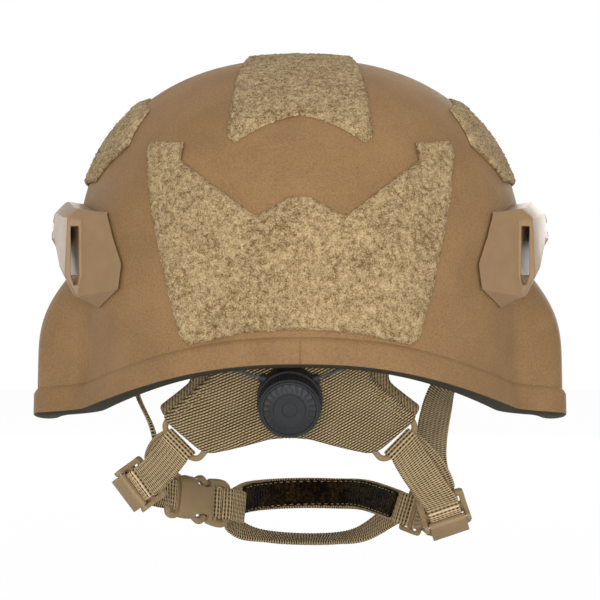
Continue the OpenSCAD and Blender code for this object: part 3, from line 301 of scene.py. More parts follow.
class Finish:
    """A material, or the world where that is given. node() adds any node to it."""

    def __init__(self, name, world=None):
        self.owner = world or bpy.data.materials.new(name)
        self.owner.use_nodes = True
        self.tree = self.owner.node_tree
        self.tree.nodes.clear()

    def node(self, kind, settings, inputs, out=0):
        made = self.tree.nodes.new(kind)
        for key, value in settings.items():
            setattr(made, key, value)
        for key, value in inputs.items():
            if isinstance(value, Value):
                self.tree.links.new(value.socket, made.inputs[key])
            else:
                made.inputs[key].default_value = value
        return Value(self, made.outputs[out]) if made.outputs else None

    def place(self):
        return self.node("ShaderNodeTexCoord", {}, {}, out="Object")

    def cloth(self, axis):
        """Distance along (X) or across (Y) a woven piece, in millimetres."""
        found = self.node("ShaderNodeAttribute", {"attribute_name": "cloth"}, {}, out="Vector")
        return self.node("ShaderNodeSeparateXYZ", {}, {0: found}, out=axis) * (1 / MM)

    def grain(self, size_mm, detail=2, rough=0.5, at=None):
        """Noise from 0 to 1 with features of that size."""
        return self.node("ShaderNodeTexNoise", {}, {"Vector": at or self.place(), "Scale": 1 / (size_mm * MM),
                                                    "Detail": detail, "Roughness": rough})

    def cells(self, size_mm):
        """Distance to the nearest of points scattered that far apart."""
        return self.node("ShaderNodeTexVoronoi", {}, {"Vector": self.place(), "Scale": 1 / (size_mm * MM)})

    def colour(self, mask, a, b):
        """Colour a where the mask is 0, b where it is 1."""
        return self.node("ShaderNodeMix", {"data_type": "RGBA"}, {"Factor": mask, 6: a, 7: b}, out=2)

    def bump(self, height, depth_mm):
        return self.node("ShaderNodeBump", {}, {"Height": height, "Distance": depth_mm * MM, "Strength": 1})

    def surface(self, colour, rough, normal, **plain):
        """The finished material. plain names sockets that hold one number, with _ for a space."""
        inputs = {"Base Color": colour, "Roughness": rough, "Normal": normal}
        inputs.update((socket.replace("_", " "), value) for socket, value in plain.items())
        shader = self.node("ShaderNodeBsdfPrincipled", {}, inputs)
        self.node("ShaderNodeOutputMaterial", {}, {"Surface": shader})
        return self.owner


def coyote_coating(name="coyote_coating", tone=1.0):
    """Gritty paint with fine pits, each with painted shade darkening it."""
    f = Finish(name)
    light, dark = [paint(*(c * tone for c in rgb)) for rgb in [(155, 121, 82), (134, 104, 69)]]
    cloud = f.grain(22, 3)
    grit = f.grain(0.75, 2, 0.7)
    pits = f.cells(2.6).clamped(0.16, 0.06)
    colour = f.colour((cloud * 0.35 + grit * 0.65).clamped(0.4, 0.6), dark, light)
    # Painted shade: the colour in the pits is darkened towards a deep brown
    colour = f.colour(pits * 0.35, colour, paint(92, 68, 44))
    height = grit * 0.7 + f.grain(1.9, 2) * 0.6 - pits * 0.5
    return f.surface(colour, 0.62 + grit * 0.16, f.bump(height, 0.26), Specular_IOR_Level=0.2)


def inner_coating():
    f = Finish("inner_coating")
    cloud = f.grain(9, 3)
    colour = f.colour(cloud, paint(50, 47, 38), paint(72, 67, 54))
    return f.surface(colour, 0.5 + cloud * 0.2, f.bump(f.grain(1.2, 2), 0.1))


def olive_rubber():
    f = Finish("olive_rubber")
    cloud = f.grain(6, 3)
    colour = f.colour(cloud, paint(44, 41, 31), paint(64, 60, 47))
    return f.surface(colour, 0.6 + cloud * 0.2, f.bump(f.grain(0.6, 2), 0.05), Specular_IOR_Level=0.15)


def loop_pile():
    """Matted loops, with painted highlight on their tips and painted shade between them."""
    f = Finish("loop_pile")
    strands = f.grain(0.7, 3, 0.75)
    clumps = f.grain(2.4, 3, 0.6)
    drift = f.grain(14, 2)
    # Painted highlight and shade: the tone follows the noise that raises the tufts, so they are light and the
    # gaps between them dark
    tone = (strands * 0.55 + clumps * 0.35 + drift * 0.1).clamped(0.4, 0.6)
    colour = f.colour(tone, paint(108, 83, 47), paint(206, 180, 136))
    return f.surface(colour, 0.92, f.bump(strands * 0.6 + clumps * 0.8, 0.7), Sheen_Weight=0.08,
                     Sheen_Roughness=0.6, Specular_IOR_Level=0.08)


# Webbing: length of one rib along it, and of one yarn across it
rib_pitch = 1.35
column_pitch = 1.9


def webbing(name="tan_webbing", low=(30, 20, 5), high=(200, 174, 131)):
    """Ribs across the webbing, each a row of yarns, with painted shade in the gaps between them."""
    f = Finish(name)
    along, across = f.cloth("X"), f.cloth("Y")
    wander = (f.grain(12, 2) - 0.5) * 0.3
    rows = along / rib_pitch + wander
    gap = 0.5 - (rows * (2 * math.pi) + math.pi / 2).sine() * 0.5
    dot = (across * (2 * math.pi / column_pitch)).sine() * 0.5 + 0.5
    fibre = f.grain(0.35, 3, 0.7)
    height = 1 - gap * (dot * 0.45 + 0.55)
    # Painted shade: the tone sinks towards low in the gaps between ribs and between yarns
    tone = (height + fibre * 0.14 + (f.grain(11, 2) - 0.5) * 0.2).clamped(0.2, 1.0)
    colour = f.colour(tone, paint(*low), paint(*high))
    bump = f.bump(height * 1.2 + fibre * 0.4, 0.5)
    return f.surface(colour, 0.85, bump, Sheen_Weight=0.06, Specular_IOR_Level=0.15)


def nape_weave():
    """Coarse weave whose rows climb across the cloth, every second row half a yarn on, with painted highlight
    on the yarns and painted shade in the gaps.
    """
    f = Finish("nape_weave")
    u, v = f.cloth("X"), f.cloth("Y")
    row_pitch = 1.2
    yarn_pitch = 1.7
    climb = math.radians(28)
    sway = (f.grain(9, 2) - 0.5) * 0.4
    rows = (v * math.cos(climb) - u * math.sin(climb)) / row_pitch + sway
    along = (u * math.cos(climb) + v * math.sin(climb)) / yarn_pitch + sway
    turn = rows.math("FLOOR") * math.pi
    gap = (rows * (2 * math.pi) + math.pi / 2).sine() * 0.5 + 0.5
    dot = (along * (2 * math.pi) + turn).sine() * 0.5 + 0.5
    yarn = (1 - gap) * (0.45 + dot * 0.55)
    fibre = f.grain(0.5, 3, 0.7)
    tone = (yarn + fibre * 0.3 + (f.grain(18, 2) - 0.5) * 0.25).clamped(0.2, 1.0)
    # Painted highlight and shade: the tops of the yarns are near white and the gaps between them near black
    colour = f.colour(tone, paint(34, 23, 6), paint(203, 178, 134))
    bump = f.bump(yarn + fibre * 0.25, 0.45)
    return f.surface(colour, 0.8, bump, Sheen_Weight=0.04, Specular_IOR_Level=0.15)


def fine_cloth(name, low, high, size=0.55, spread=(0.32, 0.68)):
    """Cloth of short fibres. spread is the noise that gives the low and the high colour."""
    f = Finish(name)
    place = f.place()
    fibre = f.grain(size, 3, 0.7, place)
    nap = f.grain(size * 5, 2, 0.5, place)
    tone = (fibre * 0.7 + nap * 0.3).clamped(*spread)
    return f.surface(f.colour(tone, paint(*low), paint(*high)), 0.9, f.bump(fibre + nap * 0.4, 0.25),
                     Sheen_Weight=0.06, Specular_IOR_Level=0.12)


def moulded(name, low, high, rough=0.42, grain_mm=0.5, depth=0.05):
    f = Finish(name)
    skin = f.grain(grain_mm, 2, 0.6)
    cloud = f.grain(8, 3)
    colour = f.colour(cloud * 0.6 + skin * 0.4, paint(*low), paint(*high))
    return f.surface(colour, rough + cloud * 0.16 - skin * 0.05, f.bump(skin, depth), Specular_IOR_Level=0.35)


def steel():
    f = Finish("pin_steel")
    streak = f.grain(0.8, 3)
    colour = f.colour(streak, paint(140, 140, 142), paint(196, 196, 198))
    return f.surface(colour, 0.28 + streak * 0.2, f.bump(streak, 0.02), Metallic=1.0)


COYOTE = coyote_coating()
TRIM_TAN = coyote_coating("trim_tan", 0.98)
INSIDE = inner_coating()
RUBBER = olive_rubber()
PILE = loop_pile()
WEB = webbing()
WEB_DARK = webbing("dark_webbing", (34, 24, 8), (200, 174, 132))
# A lighter copy of the webbing, painted light, for the side straps that lie in the shell's shade
WEB_PAINTED_LIT = webbing("light_webbing", (72, 56, 30), (232, 206, 162))
NAPE_TAN = webbing("nape_pad_cloth", (92, 74, 46), (168, 146, 108))
WEAVE = nape_weave()
TAN = moulded("tan_nylon", (128, 100, 68), (160, 130, 94), 0.36, 0.45, 0.06)
BUCKLE_TAN = moulded("buckle_nylon", (136, 112, 78), (162, 138, 102), 0.36, 0.6, 0.05)
BLACK = moulded("black_nylon", (30, 31, 33), (46, 47, 49), 0.46, 0.35, 0.05)
BLACK_METAL = moulded("black_coat", (30, 30, 32), (46, 46, 48), 0.5, 0.3, 0.04)
STEEL = steel()
PLUSH = fine_cloth("brown_plush", (2, 0, 0), (72, 50, 16), 1.2, (0.46, 0.68))
PAD_CLOTH = fine_cloth("pad_cloth", (44, 41, 34), (86, 80, 66), 0.6)
LACE = fine_cloth("dark_lace", (44, 48, 56), (112, 118, 128), 0.4)
THREAD = fine_cloth("tan_thread", (140, 118, 80), (205, 182, 140), 0.3)


# Mesh building
def piece(name, points, faces, finish, body, sharp=40, cloth=None, corner_cloth=None):
    """A mesh piece from points in millimetres, riding on a body unless body is None.
    cloth and corner_cloth give each point, or each face corner, its place on the flat cloth."""
    mesh = bpy.data.meshes.new(name)
    points = np.asarray(points).reshape(-1, 3) * MM
    mesh.from_pydata(points.tolist(), [], [list(map(int, f)) for f in faces])
    for places, domain in ((cloth, "POINT"), (corner_cloth, "CORNER")):
        if places is not None:
            attribute = mesh.attributes.new("cloth", "FLOAT_VECTOR", domain)
            attribute.data.foreach_set("vector", (np.asarray(places) * MM).astype(np.float32).ravel())
    mesh.shade_smooth()
    mesh.set_sharp_from_angle(angle=math.radians(sharp))
    mesh.materials.append(finish)
    made = bpy.data.objects.new(name, mesh)
    bpy.context.scene.collection.objects.link(made)
    if body:
        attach(made, body)
    return made


def quads(rows, cols, wrap_cols=False, wrap_rows=False, flip=False, base=0):
    """Faces of a grid of points, rows of cols."""
    i = np.arange(rows if wrap_rows else rows - 1)[:, None]
    j = np.arange(cols if wrap_cols else cols - 1)[None, :]
    i, j = np.broadcast_arrays(i, j)
    below, right = (i + 1) % rows, (j + 1) % cols
    order = [i * cols + j, i * cols + right, below * cols + right, below * cols + j]
    faces = np.stack(order[::-1] if flip else order, -1).reshape(-1, 4)
    return (faces + base).tolist()


def tube_faces(rows, cols, flip=True):
    """Faces of a closed tube of points, rows of cols: its wall and its two ends."""
    first, last = range(cols), range(rows * cols - 1, (rows - 1) * cols - 1, -1)
    ends = [tuple(first), tuple(last)] if flip else [tuple(first[::-1]), tuple(last[::-1])]
    return quads(rows, cols, wrap_cols=True, flip=flip) + ends


def bowl_faces(rows, cols):
    """Faces of a bowl: an outer grid of points and then an inner one, joined at their last rows."""
    n = rows * cols
    last = n - cols
    faces = quads(rows, cols, wrap_cols=True, flip=True) + quads(rows, cols, wrap_cols=True, base=n)
    for j in range(cols):
        k = last + (j + 1) % cols
        faces.append((last + j, n + last + j, n + k, k))
    return faces + [tuple(range(cols)), tuple(range(n + cols - 1, n - 1, -1))]


def rim_edges(faces):
    """Edges that only one of the faces has."""
    edges = dict.fromkeys((a, b) for f in faces for a, b in zip(f, [*f[1:], f[0]]))
    return [(a, b) for a, b in edges if (b, a) not in edges]


def soften(outline, r, n=5):
    """An outline with its corners rounded to about r."""
    outline = [vec(*p) for p in outline]
    ring = []
    for k, p in enumerate(outline):
        a, b = outline[k - 1], outline[(k + 1) % len(outline)]
        d = min(r * 0.8, 0.45 * np.linalg.norm(a - p), 0.45 * np.linalg.norm(b - p))
        start, end = p + unit(a - p) * d, p + unit(b - p) * d
        for t in np.linspace(0, 1, n):
            ring.append(start * (1 - t) ** 2 + 2 * p * t * (1 - t) + end * t ** 2)
    return ring


def mirrored(half, axis=0):
    """A closed outline from the half at positive first coordinate."""
    flip = vec(*[-1 if k == axis else 1 for k in range(2)])
    inner = [p for p in half[::-1] if abs(p[axis]) > 1e-9]
    return [vec(*p) for p in half] + [vec(*p) * flip for p in inner]


def spaced(ring, step, closed=True):
    """Points along a line about step apart, keeping its own."""
    ring = [vec(*p) for p in ring]
    ends = ring[1:] + ring[:1] if closed else ring[1:]
    out = []
    for a, b in zip(ring, ends):
        n = max(1, int(round(np.linalg.norm(b - a) / step)))
        out += [mix(a, b, k / n) for k in range(n)]
    return np.array(out if closed else out + [ring[-1]])


def edge_distance(points, ring):
    """How far each point lies from a closed outline."""
    a = np.asarray(ring)
    d = np.roll(a, -1, 0) - a
    best = np.full(len(points), 1e9)
    for p, q in zip(a, d):
        t = np.clip((points - p) @ q / (q @ q + 1e-12), 0, 1)
        best = np.minimum(best, np.linalg.norm(points - p - t[:, None] * q, axis=1))
    return best


def inside(points, ring):
    """Which points lie inside a closed outline."""
    a, b = np.asarray(ring), np.roll(np.asarray(ring), -1, 0)
    hit = np.zeros(len(points), bool)
    for (ax, ay), (bx, by) in zip(a, b):
        if ay == by:
            continue
        cross_x = ax + (points[:, 1] - ay) * (bx - ax) / (by - ay)
        hit ^= ((points[:, 1] > min(ay, by)) & (points[:, 1] <= max(ay, by)) & (points[:, 0] < cross_x))
    return hit


def ripple(p, size, seed=0):
    """Smooth noise from -1 to 1 over points in the plane or in space, features of that size."""
    rng = np.random.default_rng(seed)
    total = np.zeros(len(p))
    for k in range(9):
        direction = unit(rng.normal(size=p.shape[1]))
        total += np.sin(p @ direction * 2 * np.pi / (size * rng.uniform(0.7, 1.5)) + rng.uniform(0, 6.3))
    return total / 4.2


def filled(ring, step):
    """Triangles inside a closed outline, their corners about step apart: points and faces."""
    row_share = 0.87
    low, high = ring.min(0), ring.max(0)
    x, y = np.meshgrid(np.arange(low[0], high[0], step), np.arange(low[1], high[1], step * row_share))
    x[1::2] += step / 2
    grid = np.stack([x.ravel(), y.ravel()], -1)
    grid = grid[inside(grid, ring)]
    grid = grid[edge_distance(grid, ring) > 0.55 * step]
    points = [Vector(p) for p in np.vstack([ring, grid])]
    links = [(k, (k + 1) % len(ring)) for k in range(len(ring))]
    found = delaunay_2d_cdt(points, links, [], 1, 1e-6)
    return np.array([list(p) for p in found[0]]), found[2]


def slab(name, outline, place, lo, hi, step, edge, finish, body, relief=None, ragged=0, low_edge=None):
    """A thick sheet cut to an outline in two coordinates and laid on a surface by place(points, offset).
    Its upper edge is rounded by edge and its lower one by low_edge."""
    ring = spaced(outline, step)
    if ragged:
        along = np.arange(len(ring))[:, None] * step
        out = unit(np.roll(ring, -1, 0) - np.roll(ring, 1, 0))[:, ::-1] * vec(1, -1)
        ring = ring + out * (ripple(along, 2.3, 5) * 0.6 + ripple(along, 0.9, 6) * 0.5)[:, None] * ragged
    flat, faces = filled(ring, step)
    d = edge_distance(flat, ring)

    def drawn_in(r):
        return r * (1 - np.sqrt(np.maximum(0, 1 - (1 - np.minimum(d / max(r, 1e-6), 1)) ** 2)))

    top = hi - drawn_in(edge)
    if relief is not None:
        top = top + relief(flat, d)
    bottom = lo + drawn_in(edge * 0.4 if low_edge is None else low_edge)
    n = len(flat)
    points = np.vstack([place(flat, top), place(flat, bottom)])
    corners = points[list(faces[len(faces) // 2])[:3]]
    out = place(flat[:1], top[:1] + 1)[0] - place(flat[:1], top[:1])[0]
    turned = np.dot(np.cross(corners[1] - corners[0], corners[2] - corners[0]), out) < 0
    skin = [tuple(f) for f in faces] + [tuple(q + n for q in f[::-1]) for f in faces]
    skin += [(b, a, a + n, b + n) for a, b in rim_edges(faces)]
    if turned:
        skin = [f[::-1] for f in skin]
    cloth = np.vstack([np.column_stack([flat, np.zeros(n)])] * 2)
    return piece(name, points, skin, finish, body, sharp=60, cloth=cloth)


def softened(node, width, finish, angle=28, sharp=35):
    """A copy of a rigid CAD node with its edges over that angle rounded, standing for the node."""
    body = frame["nodes"][node]["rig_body"]
    work = bmesh.new()
    work.from_mesh(frame["nodes"][node].data)
    bmesh.ops.remove_doubles(work, verts=work.verts, dist=2e-6)
    bmesh.ops.dissolve_limit(work, angle_limit=math.radians(1.5), verts=work.verts, edges=work.edges)
    edges = [e for e in work.edges if len(e.link_faces) == 2
             and e.calc_face_angle(0) > math.radians(angle)]
    bmesh.ops.bevel(work, geom=edges, offset=width * MM, segments=2, profile=0.5, affect="EDGES",
                    clamp_overlap=False)
    bmesh.ops.triangulate(work, faces=[f for f in work.faces if len(f.verts) > 4])
    mesh = bpy.data.meshes.new(node + "_body")
    work.to_mesh(mesh)
    work.free()
    mesh.shade_smooth()
    mesh.set_sharp_from_angle(angle=math.radians(sharp))
    mesh.materials.append(finish)
    made = bpy.data.objects.new(node + "_body", mesh)
    bpy.context.scene.collection.objects.link(made)
    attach(made, body)
    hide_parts(node)


def dress(finish, *nodes):
    """Gives CAD nodes that are shown as they are a finish."""
    for node in nodes:
        mesh = frame["nodes"][node].data
        mesh.materials.clear()
        mesh.materials.append(finish)


# Shell, its inside and its edge trim
def shell_skin():
    """The shell: coated outside, darker inside, cut off along the rim."""
    ts = np.arange(0, 360, 1.5)
    crown = np.concatenate([[89.6, 88.6, 87.2], np.linspace(85, 0, 34)])
    walls = np.linspace(0, 1, 30)[1:]

    def grid(o):
        domes = dome_height(crown, o)
        z = np.array([np.concatenate([domes, mix(waist_z, rim_z(t), walls)]) for t in ts]).T
        return surf(ts[None, :].repeat(len(z), 0), z, o)

    outer, inner = grid(0), grid(-shell_t)
    rows, cols = outer.shape[:2]
    faces = bowl_faces(rows, cols)
    made = piece("shell_skin", [outer, inner], faces, COYOTE, "shell")
    made.data.materials.append(INSIDE)
    # The last two faces close the crown, first the outer one
    slots = np.zeros(len(faces), np.int32)
    slots[(rows - 1) * cols:] = 1
    slots[-2] = 0
    made.data.polygons.foreach_set("material_index", slots)
    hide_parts("shell")


def edge_trim():
    """Rubber edging: a channel over the rim, its two ends meeting at the middle of the nape."""
    gap = 0.15
    belly = 2.7
    inner = -shell_t - gap
    inmost = inner - trim_t
    across = trim_t * 2 + shell_t + gap
    outer_leg = [(trim_t, 0.2), (trim_t, trim_h * 0.5), (trim_t, trim_h - 2), (trim_t * 0.86, trim_h - 1.2),
                 (trim_t * 0.5, trim_h - 0.3), (trim_t * 0.16, trim_h + 0.3), (-0.08, trim_h + 0.6)]
    channel = [(gap, -gap), (inner, -gap), (inner, trim_h), (inner - trim_t * 0.5, trim_h),
               (inmost, trim_h - 0.7), (inmost, trim_h * 0.5), (inmost, 0)]
    arc = [(inmost + across * (1 - math.cos(a)) / 2, -belly * math.sin(a) ** 0.6)
           for a in np.radians(np.arange(12, 170, 12))]
    profile = np.array(outer_leg + channel + arc)
    seam_t = 270
    ts = np.concatenate([np.arange(-88.5, 269.5, 1.5), [269.55, 269.85, seam_t, 270.15, 270.45]])
    rings = []
    for t in ts:
        pinch = 0.6 * max(0, 1 - abs(t - seam_t) / 0.3)
        rings.append(surf(t, rim_z(t) + profile[:, 1], profile[:, 0] - pinch * (profile[:, 0] > 0.5)))
    faces = quads(len(ts), len(profile), wrap_cols=True, wrap_rows=True)
    made = piece("edge_trim_rubber", rings, faces, TRIM_TAN, "shell", sharp=50)
    made.data.materials.append(RUBBER)
    column = np.arange(len(faces)) % len(profile)
    tan = (column < len(outer_leg)) | (column == len(profile) - 1)
    made.data.polygons.foreach_set("material_index", np.where(tan, 0, 1).astype(np.int32))
    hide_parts("edge_trim")


# Loop panels: outlines, the rear and top ones as right halves
LOOP_REAR = [(0, 41), (25, 39), (47.5, 34), (51.5, 36.5), (57, 56), (62, 79), (65.5, 97), (68, 119),
             (66, 123.5), (50.5, 122), (52, 114), (22, 91), (18, 89.5), (4, 97.6), (0, 97.6)]
LOOP_TOP = [(0, -108), (28, -116), (31.5, -113), (25, -40), (24, 50), (20, 62), (0, 52)]
LOOP_SIDE = [(-76, 122), (-62, 139), (-20, 147), (34, 147), (60, 138), (52, 112), (30, 107), (-56, 107)]
LOOP_FRONT = [(34, 112), (46, 112), (48, 128), (30, 146), (-30, 146), (-48, 128), (-46, 112), (-34, 112),
              (-34, 125), (34, 125)]


def pile_relief(p, d):
    """Tufts and waves of the pile, lower towards its edge."""
    tufts = np.random.default_rng(21).uniform(-0.42, 0.42, len(p))
    return (0.22 * ripple(p, 2.2, 1) + 0.25 * ripple(p, 9, 3) + tufts) * smooth(0.3 + d / 1.5) - 0.25


def loop_panel(node, outline, place):
    """A panel of loop pile with a ragged, rounded edge."""
    made = slab(node + "_pile", soften(outline, 1.6), place, loop_gap, loop_t, step=0.85, edge=1.9,
                finish=PILE, body="shell", relief=pile_relief, ragged=0.5)
    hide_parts(node)


def loop_panels():
    loop_panel("loop_rear", mirrored(LOOP_REAR), on_back)
    loop_panel("loop_top", mirrored(LOOP_TOP), on_crown)
    loop_panel("loop_right", LOOP_SIDE, on_side)
    loop_panel("loop_left", LOOP_SIDE, lambda p, o: on_side(p, o) * vec(-1, 1, 1))
    loop_panel("loop_front", LOOP_FRONT, on_brow)


# Comfort pads: thickness, gap to the shell, and thickness at the edge. Each of the six round the head has its
# middle azimuth and half its width in degrees, then its middle height and half its height
pad_t = 19
pad_back = 3.4
pad_edge = 7
crown_pad_low = 52
PADS = {"pad_front": (90, 26, 88, 26), "pad_rear": (270, 26, 84, 26),
        "pad_left_front": (137, 17, 88, 26), "pad_left_rear": (223, 17, 84, 26),
        "pad_right_front": (43, 17, 88, 26), "pad_right_rear": (-43, 17, 84, 26)}


def fullness(u, v):
    """How far a pad has swelled, from 1 in its middle to 0 at its edge."""
    return np.maximum(0, (1 - np.abs(u) ** 4) * (1 - np.abs(v) ** 4)) ** 0.4


def cushion(node, outer, inner, wrap=False):
    """Closed pad from its back and face grids. wrap closes them round into a bowl."""
    rows, cols = outer.shape[:2]
    n = rows * cols
    if wrap:
        faces = bowl_faces(rows, cols)
    else:
        faces = quads(rows, cols, flip=True) + quads(rows, cols, base=n)
        rim = [(0, j) for j in range(cols)] + [(i, cols - 1) for i in range(1, rows)]
        rim += [(rows - 1, j) for j in range(cols - 2, -1, -1)] + [(i, 0) for i in range(rows - 2, 0, -1)]
        k = [i * cols + j for i, j in rim]
        faces += [(a, b, b + n, a + n) for a, b in zip(k, k[1:] + k[:1])]
    made = piece(node + "_cushion", [outer, inner], faces, PAD_CLOTH, "shell", sharp=80)
    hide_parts(node)


def comfort_pads():
    """Six pads round the head and one in the crown, their faces swelled, creased and tufted."""
    back = -shell_t - pad_back
    edge_draw = 2
    swelling = pad_t - pad_back - pad_edge - 0.6
    corner_round = 0.16
    v, u = np.meshgrid(np.linspace(1, -1, 44), np.linspace(-1, 1, 48), indexing="ij")
    full = fullness(u, v)
    across, up = u * 30, v * 26
    flat = np.stack([across.ravel(), up.ravel()], -1)
    crease = (0.35 * ripple(flat, 12, 7) + 0.2 * ripple(flat, 5, 8)).reshape(u.shape) * full
    tuft = 1.6 * np.exp(-(across ** 2 + up ** 2) / 60)
    for node, (t_mid, t_half, z_mid, z_half) in PADS.items():
        t = t_mid + t_half * u * np.sqrt(1 - corner_round * v * v)
        z = z_mid + z_half * v * np.sqrt(1 - corner_round * u * u)
        outer = surf(t, z, back - edge_draw * (1 - full))
        inner = surf(t, z, back - pad_edge - swelling * full + crease + tuft)
        cushion(node, outer, inner)
    down = np.linspace(0, 1, 40)
    angle = mix(85, crown_pad_low, down)[:, None]
    ts = np.arange(0, 360, 4)[None, :]

    def ring(o):
        z = dome_height(angle, o)
        return surf(ts + 0 * z, z + 0 * ts, o)

    full = fullness(down, 0)[:, None]
    lobes = 0.5 * np.abs(np.cos(np.radians(ts * 2))) * full
    outer = ring(back - edge_draw * (1 - full))
    inner = ring(back - pad_edge - swelling * full + lobes)
    cushion("pad_crown", outer, inner, wrap=True)


# Webbing
def section_points(width, thick):
    """Cross-section of webbing: width offset, thickness offset and side, anticlockwise."""
    r = thick / 2
    half = width / 2 - r
    flat = np.linspace(half, -half, max(6, int(width / 0.65)))
    turn = np.radians([30, 60, 90, 120, 150])
    top = [(a, r, 1) for a in flat]
    left = [(-half - r * math.sin(k), r * math.cos(k), 0) for k in turn]
    bottom = [(a, -r, -1) for a in flat[::-1]]
    right = [(half + r * math.sin(k), -r * math.cos(k), 0) for k in turn]
    return np.array(top + left + bottom + right)


def distances(line):
    """How far along a line each of its points lies."""
    return np.concatenate([[0], np.cumsum(np.linalg.norm(np.diff(line, axis=0), axis=1))])


def evened(centres, faces, widths, step, closed):
    """The same strap with its rings step apart, and how far along each lies."""
    if closed:
        centres, faces, widths = [np.vstack([a, a[:1]]) for a in (centres, faces, widths)]
    along = distances(centres)
    n = max(2, int(round(along[-1] / step)))
    s = np.linspace(0, along[-1], n + 1)
    out = [np.stack([np.interp(s, along, a[:, k]) for k in range(3)], -1) for a in (centres, faces, widths)]
    if closed:
        out = [a[:-1] for a in out]
    return (*out, s)


def strap(name, centres, faces, widths, width, thick, finish, body, closed=False, relief=0.22, plush=False):
    """Strap along rings: its centre, the way its face looks, and the way its width runs. Ribbed, or plush."""
    step = 0.25 * rib_pitch
    centres, faces, widths, along = evened(np.array(centres), np.array(faces), np.array(widths), step, closed)
    widths = unit(widths)
    faces = second(widths, faces)
    sec = section_points(width - 2 * relief, thick - relief)
    rows, cols = len(centres), len(sec)
    s = along[:rows, None]
    a, up, edge = sec[None, :, 0], sec[None, :, 1], sec[None, :, 2] == 0
    if plush:
        flat = np.stack([np.broadcast_to(k, (rows, cols)).ravel() for k in (s, a)], -1)
        height = ripple(flat, 1.6, 4).reshape(rows, cols) + 1
    else:
        height = 0.5 + 0.5 * np.cos(2 * np.pi * s / rib_pitch) + 0 * a
    lift = relief * height
    out = up + np.sign(up) * lift
    side = a + np.where(edge, np.sign(a) * lift * 0.8, 0)
    points = centres[:, None] + faces[:, None] * out[..., None] + widths[:, None] * side[..., None]
    if closed:
        skin = quads(rows, cols, wrap_cols=True, wrap_rows=True)
    else:
        skin = tube_faces(rows, cols, flip=False)
    # Where a closed strap's last ring meets its first, that one lies at the end of the cloth
    corners = []
    for f in skin:
        row = [q // cols for q in f]
        wraps = closed and max(row) == rows - 1 and min(row) == 0
        for q, r in zip(f, row):
            corners.append((along[-1] if wraps and r == 0 else along[r], sec[q % cols, 0], 0))
    return piece(name, points, skin, finish, body, sharp=70, corner_cloth=corners)


def belt_rings(pa, wa, ra, pb, wb, rb, thick, skew=(0, 0)):
    """Doubled strap looped round two bars, its two layers shifted sideways by up to skew."""
    def arc(p, out, w, r):
        rings = []
        for k in np.radians(np.arange(-90, 91, 6)):
            radial = out * math.cos(k) + np.cross(w, out) * math.sin(k)
            rings.append((p + radial * (r + thick / 2), radial, w))
        return rings

    def run(q, s, shift, n=24):
        rings = []
        for k in np.arange(1, n) / n:
            w = unit(mix(q[2], s[2], k))
            aside = w * shift * math.sin(math.pi * k) ** 0.6
            rings.append((mix(q[0], s[0], k) + aside, second(w, mix(q[1], s[1], k)), w))
        return rings

    wa, wb = unit(wa), unit(wb)
    a = arc(pa, second(wa, pa - pb), wa, ra)
    b = arc(pb, second(wb, pb - pa), wb, rb)
    loop = a + run(a[-1], b[0], skew[0]) + b + run(b[-1], a[0], skew[1])
    return [np.array(part) for part in zip(*loop)]


def line_rings(points, width_dir):
    """Rings along a line of points; width_dir(share) gives the way the width runs."""
    t = unit(np.gradient(points, axis=0))
    share = np.linspace(0, 1, len(points))
    w = second(t, np.array([width_dir(k) for k in share]))
    return points, np.cross(t, w), w


def stitches(name, points, normals, body, length=1.9, gap=1.5, r=0.28):
    """A row of sewn stitches lying along points."""
    points, normals = np.asarray(points, float), np.asarray(normals, float)
    along = distances(points)
    sides = 6
    # Share of the stitch's length, height and thickness there, both in radii
    shape = [(0, -0.7, 0.35), (0.18, 0.35, 0.9), (0.5, 0.75, 1), (0.82, 0.35, 0.9), (1, -0.7, 0.35)]

    def at(values, m):
        return vec(*[np.interp(m, along, values[:, k]) for k in range(3)])

    verts, faces = [], []
    s = gap
    while s + length < along[-1]:
        base = len(verts)
        for share, lift, wide in shape:
            m = s + length * share
            p, normal = at(points, m), unit(at(normals, m))
            side = unit(np.cross(at(points, m + 0.01) - p, normal))
            for k in range(sides):
                turn = k * math.pi / 3
                out = normal * (lift * r + math.sin(turn) * r * wide)
                verts.append(p + out + side * math.cos(turn) * r * wide)
        faces += [[base + k for k in f] for f in tube_faces(len(shape), sides, flip=False)]
        s += length + gap
    return piece(name, verts, faces, THREAD, body, sharp=80)


SIDE_NAME = {-1: "left", 1: "right"}

# Nape cradle, in its own frame: u right, v up, w out of its rear face, from the dial's seat. Here are that
# seat's place, the radius of the cradle's bend and its lean. The outlines below are right halves
nape_x = -4.5
nape_y = -110
nape_z = 11.4
nape_curve = 95
nape_lean = math.radians(18)

# Its layers: cover, plate and pad, the gap between them, how far the plate drops at its corners with the
# rings, and the height of the pad's rear face
cover_t = 1.5
yoke_t = 1.5
nape_pad_t = 10
layer_gap = 0.3
ring_drop = 0.9
pad_hi = -cover_t - yoke_t - 2 * layer_gap - ring_drop

# How far the laces stand off the shell's inner wall at their guides
guide_stand = 5.8

# The cradle's axes v and w, and the outlines of its cover and its pad
NAPE_V = vec(0, -math.sin(nape_lean), math.cos(nape_lean))
NAPE_W = vec(0, -math.cos(nape_lean), -math.sin(nape_lean))
NAPE_COVER = [(0, -19.5), (9, -20.5), (26, -26.5), (35, -29.5), (40, -28.5), (54.5, -18), (56, -15.5),
              (35, 6.5), (35, 20), (0, 20)]
NAPE_PAD = [(0, -17), (26, -23), (37, -25), (51, -21.5), (56.5, -17.5), (58, -14), (43, 1), (45, 12),
            (44, 24), (0, 24)]


def nape_frame(u, v, w):
    """A point in the cradle's flat frame."""
    return vec(nape_x + u, nape_y, nape_z) + NAPE_V * v + NAPE_W * w


def nape(u, v, w):
    """Points of the cradle, bent round the neck."""
    u, v, w = np.broadcast_arrays(np.asarray(u, float), v, w)
    base = np.stack([u + nape_x, 0 * u + nape_y, 0 * u + nape_z], -1)
    return base + NAPE_V * v[..., None] + NAPE_W * (w - u * u / (2 * nape_curve))[..., None]


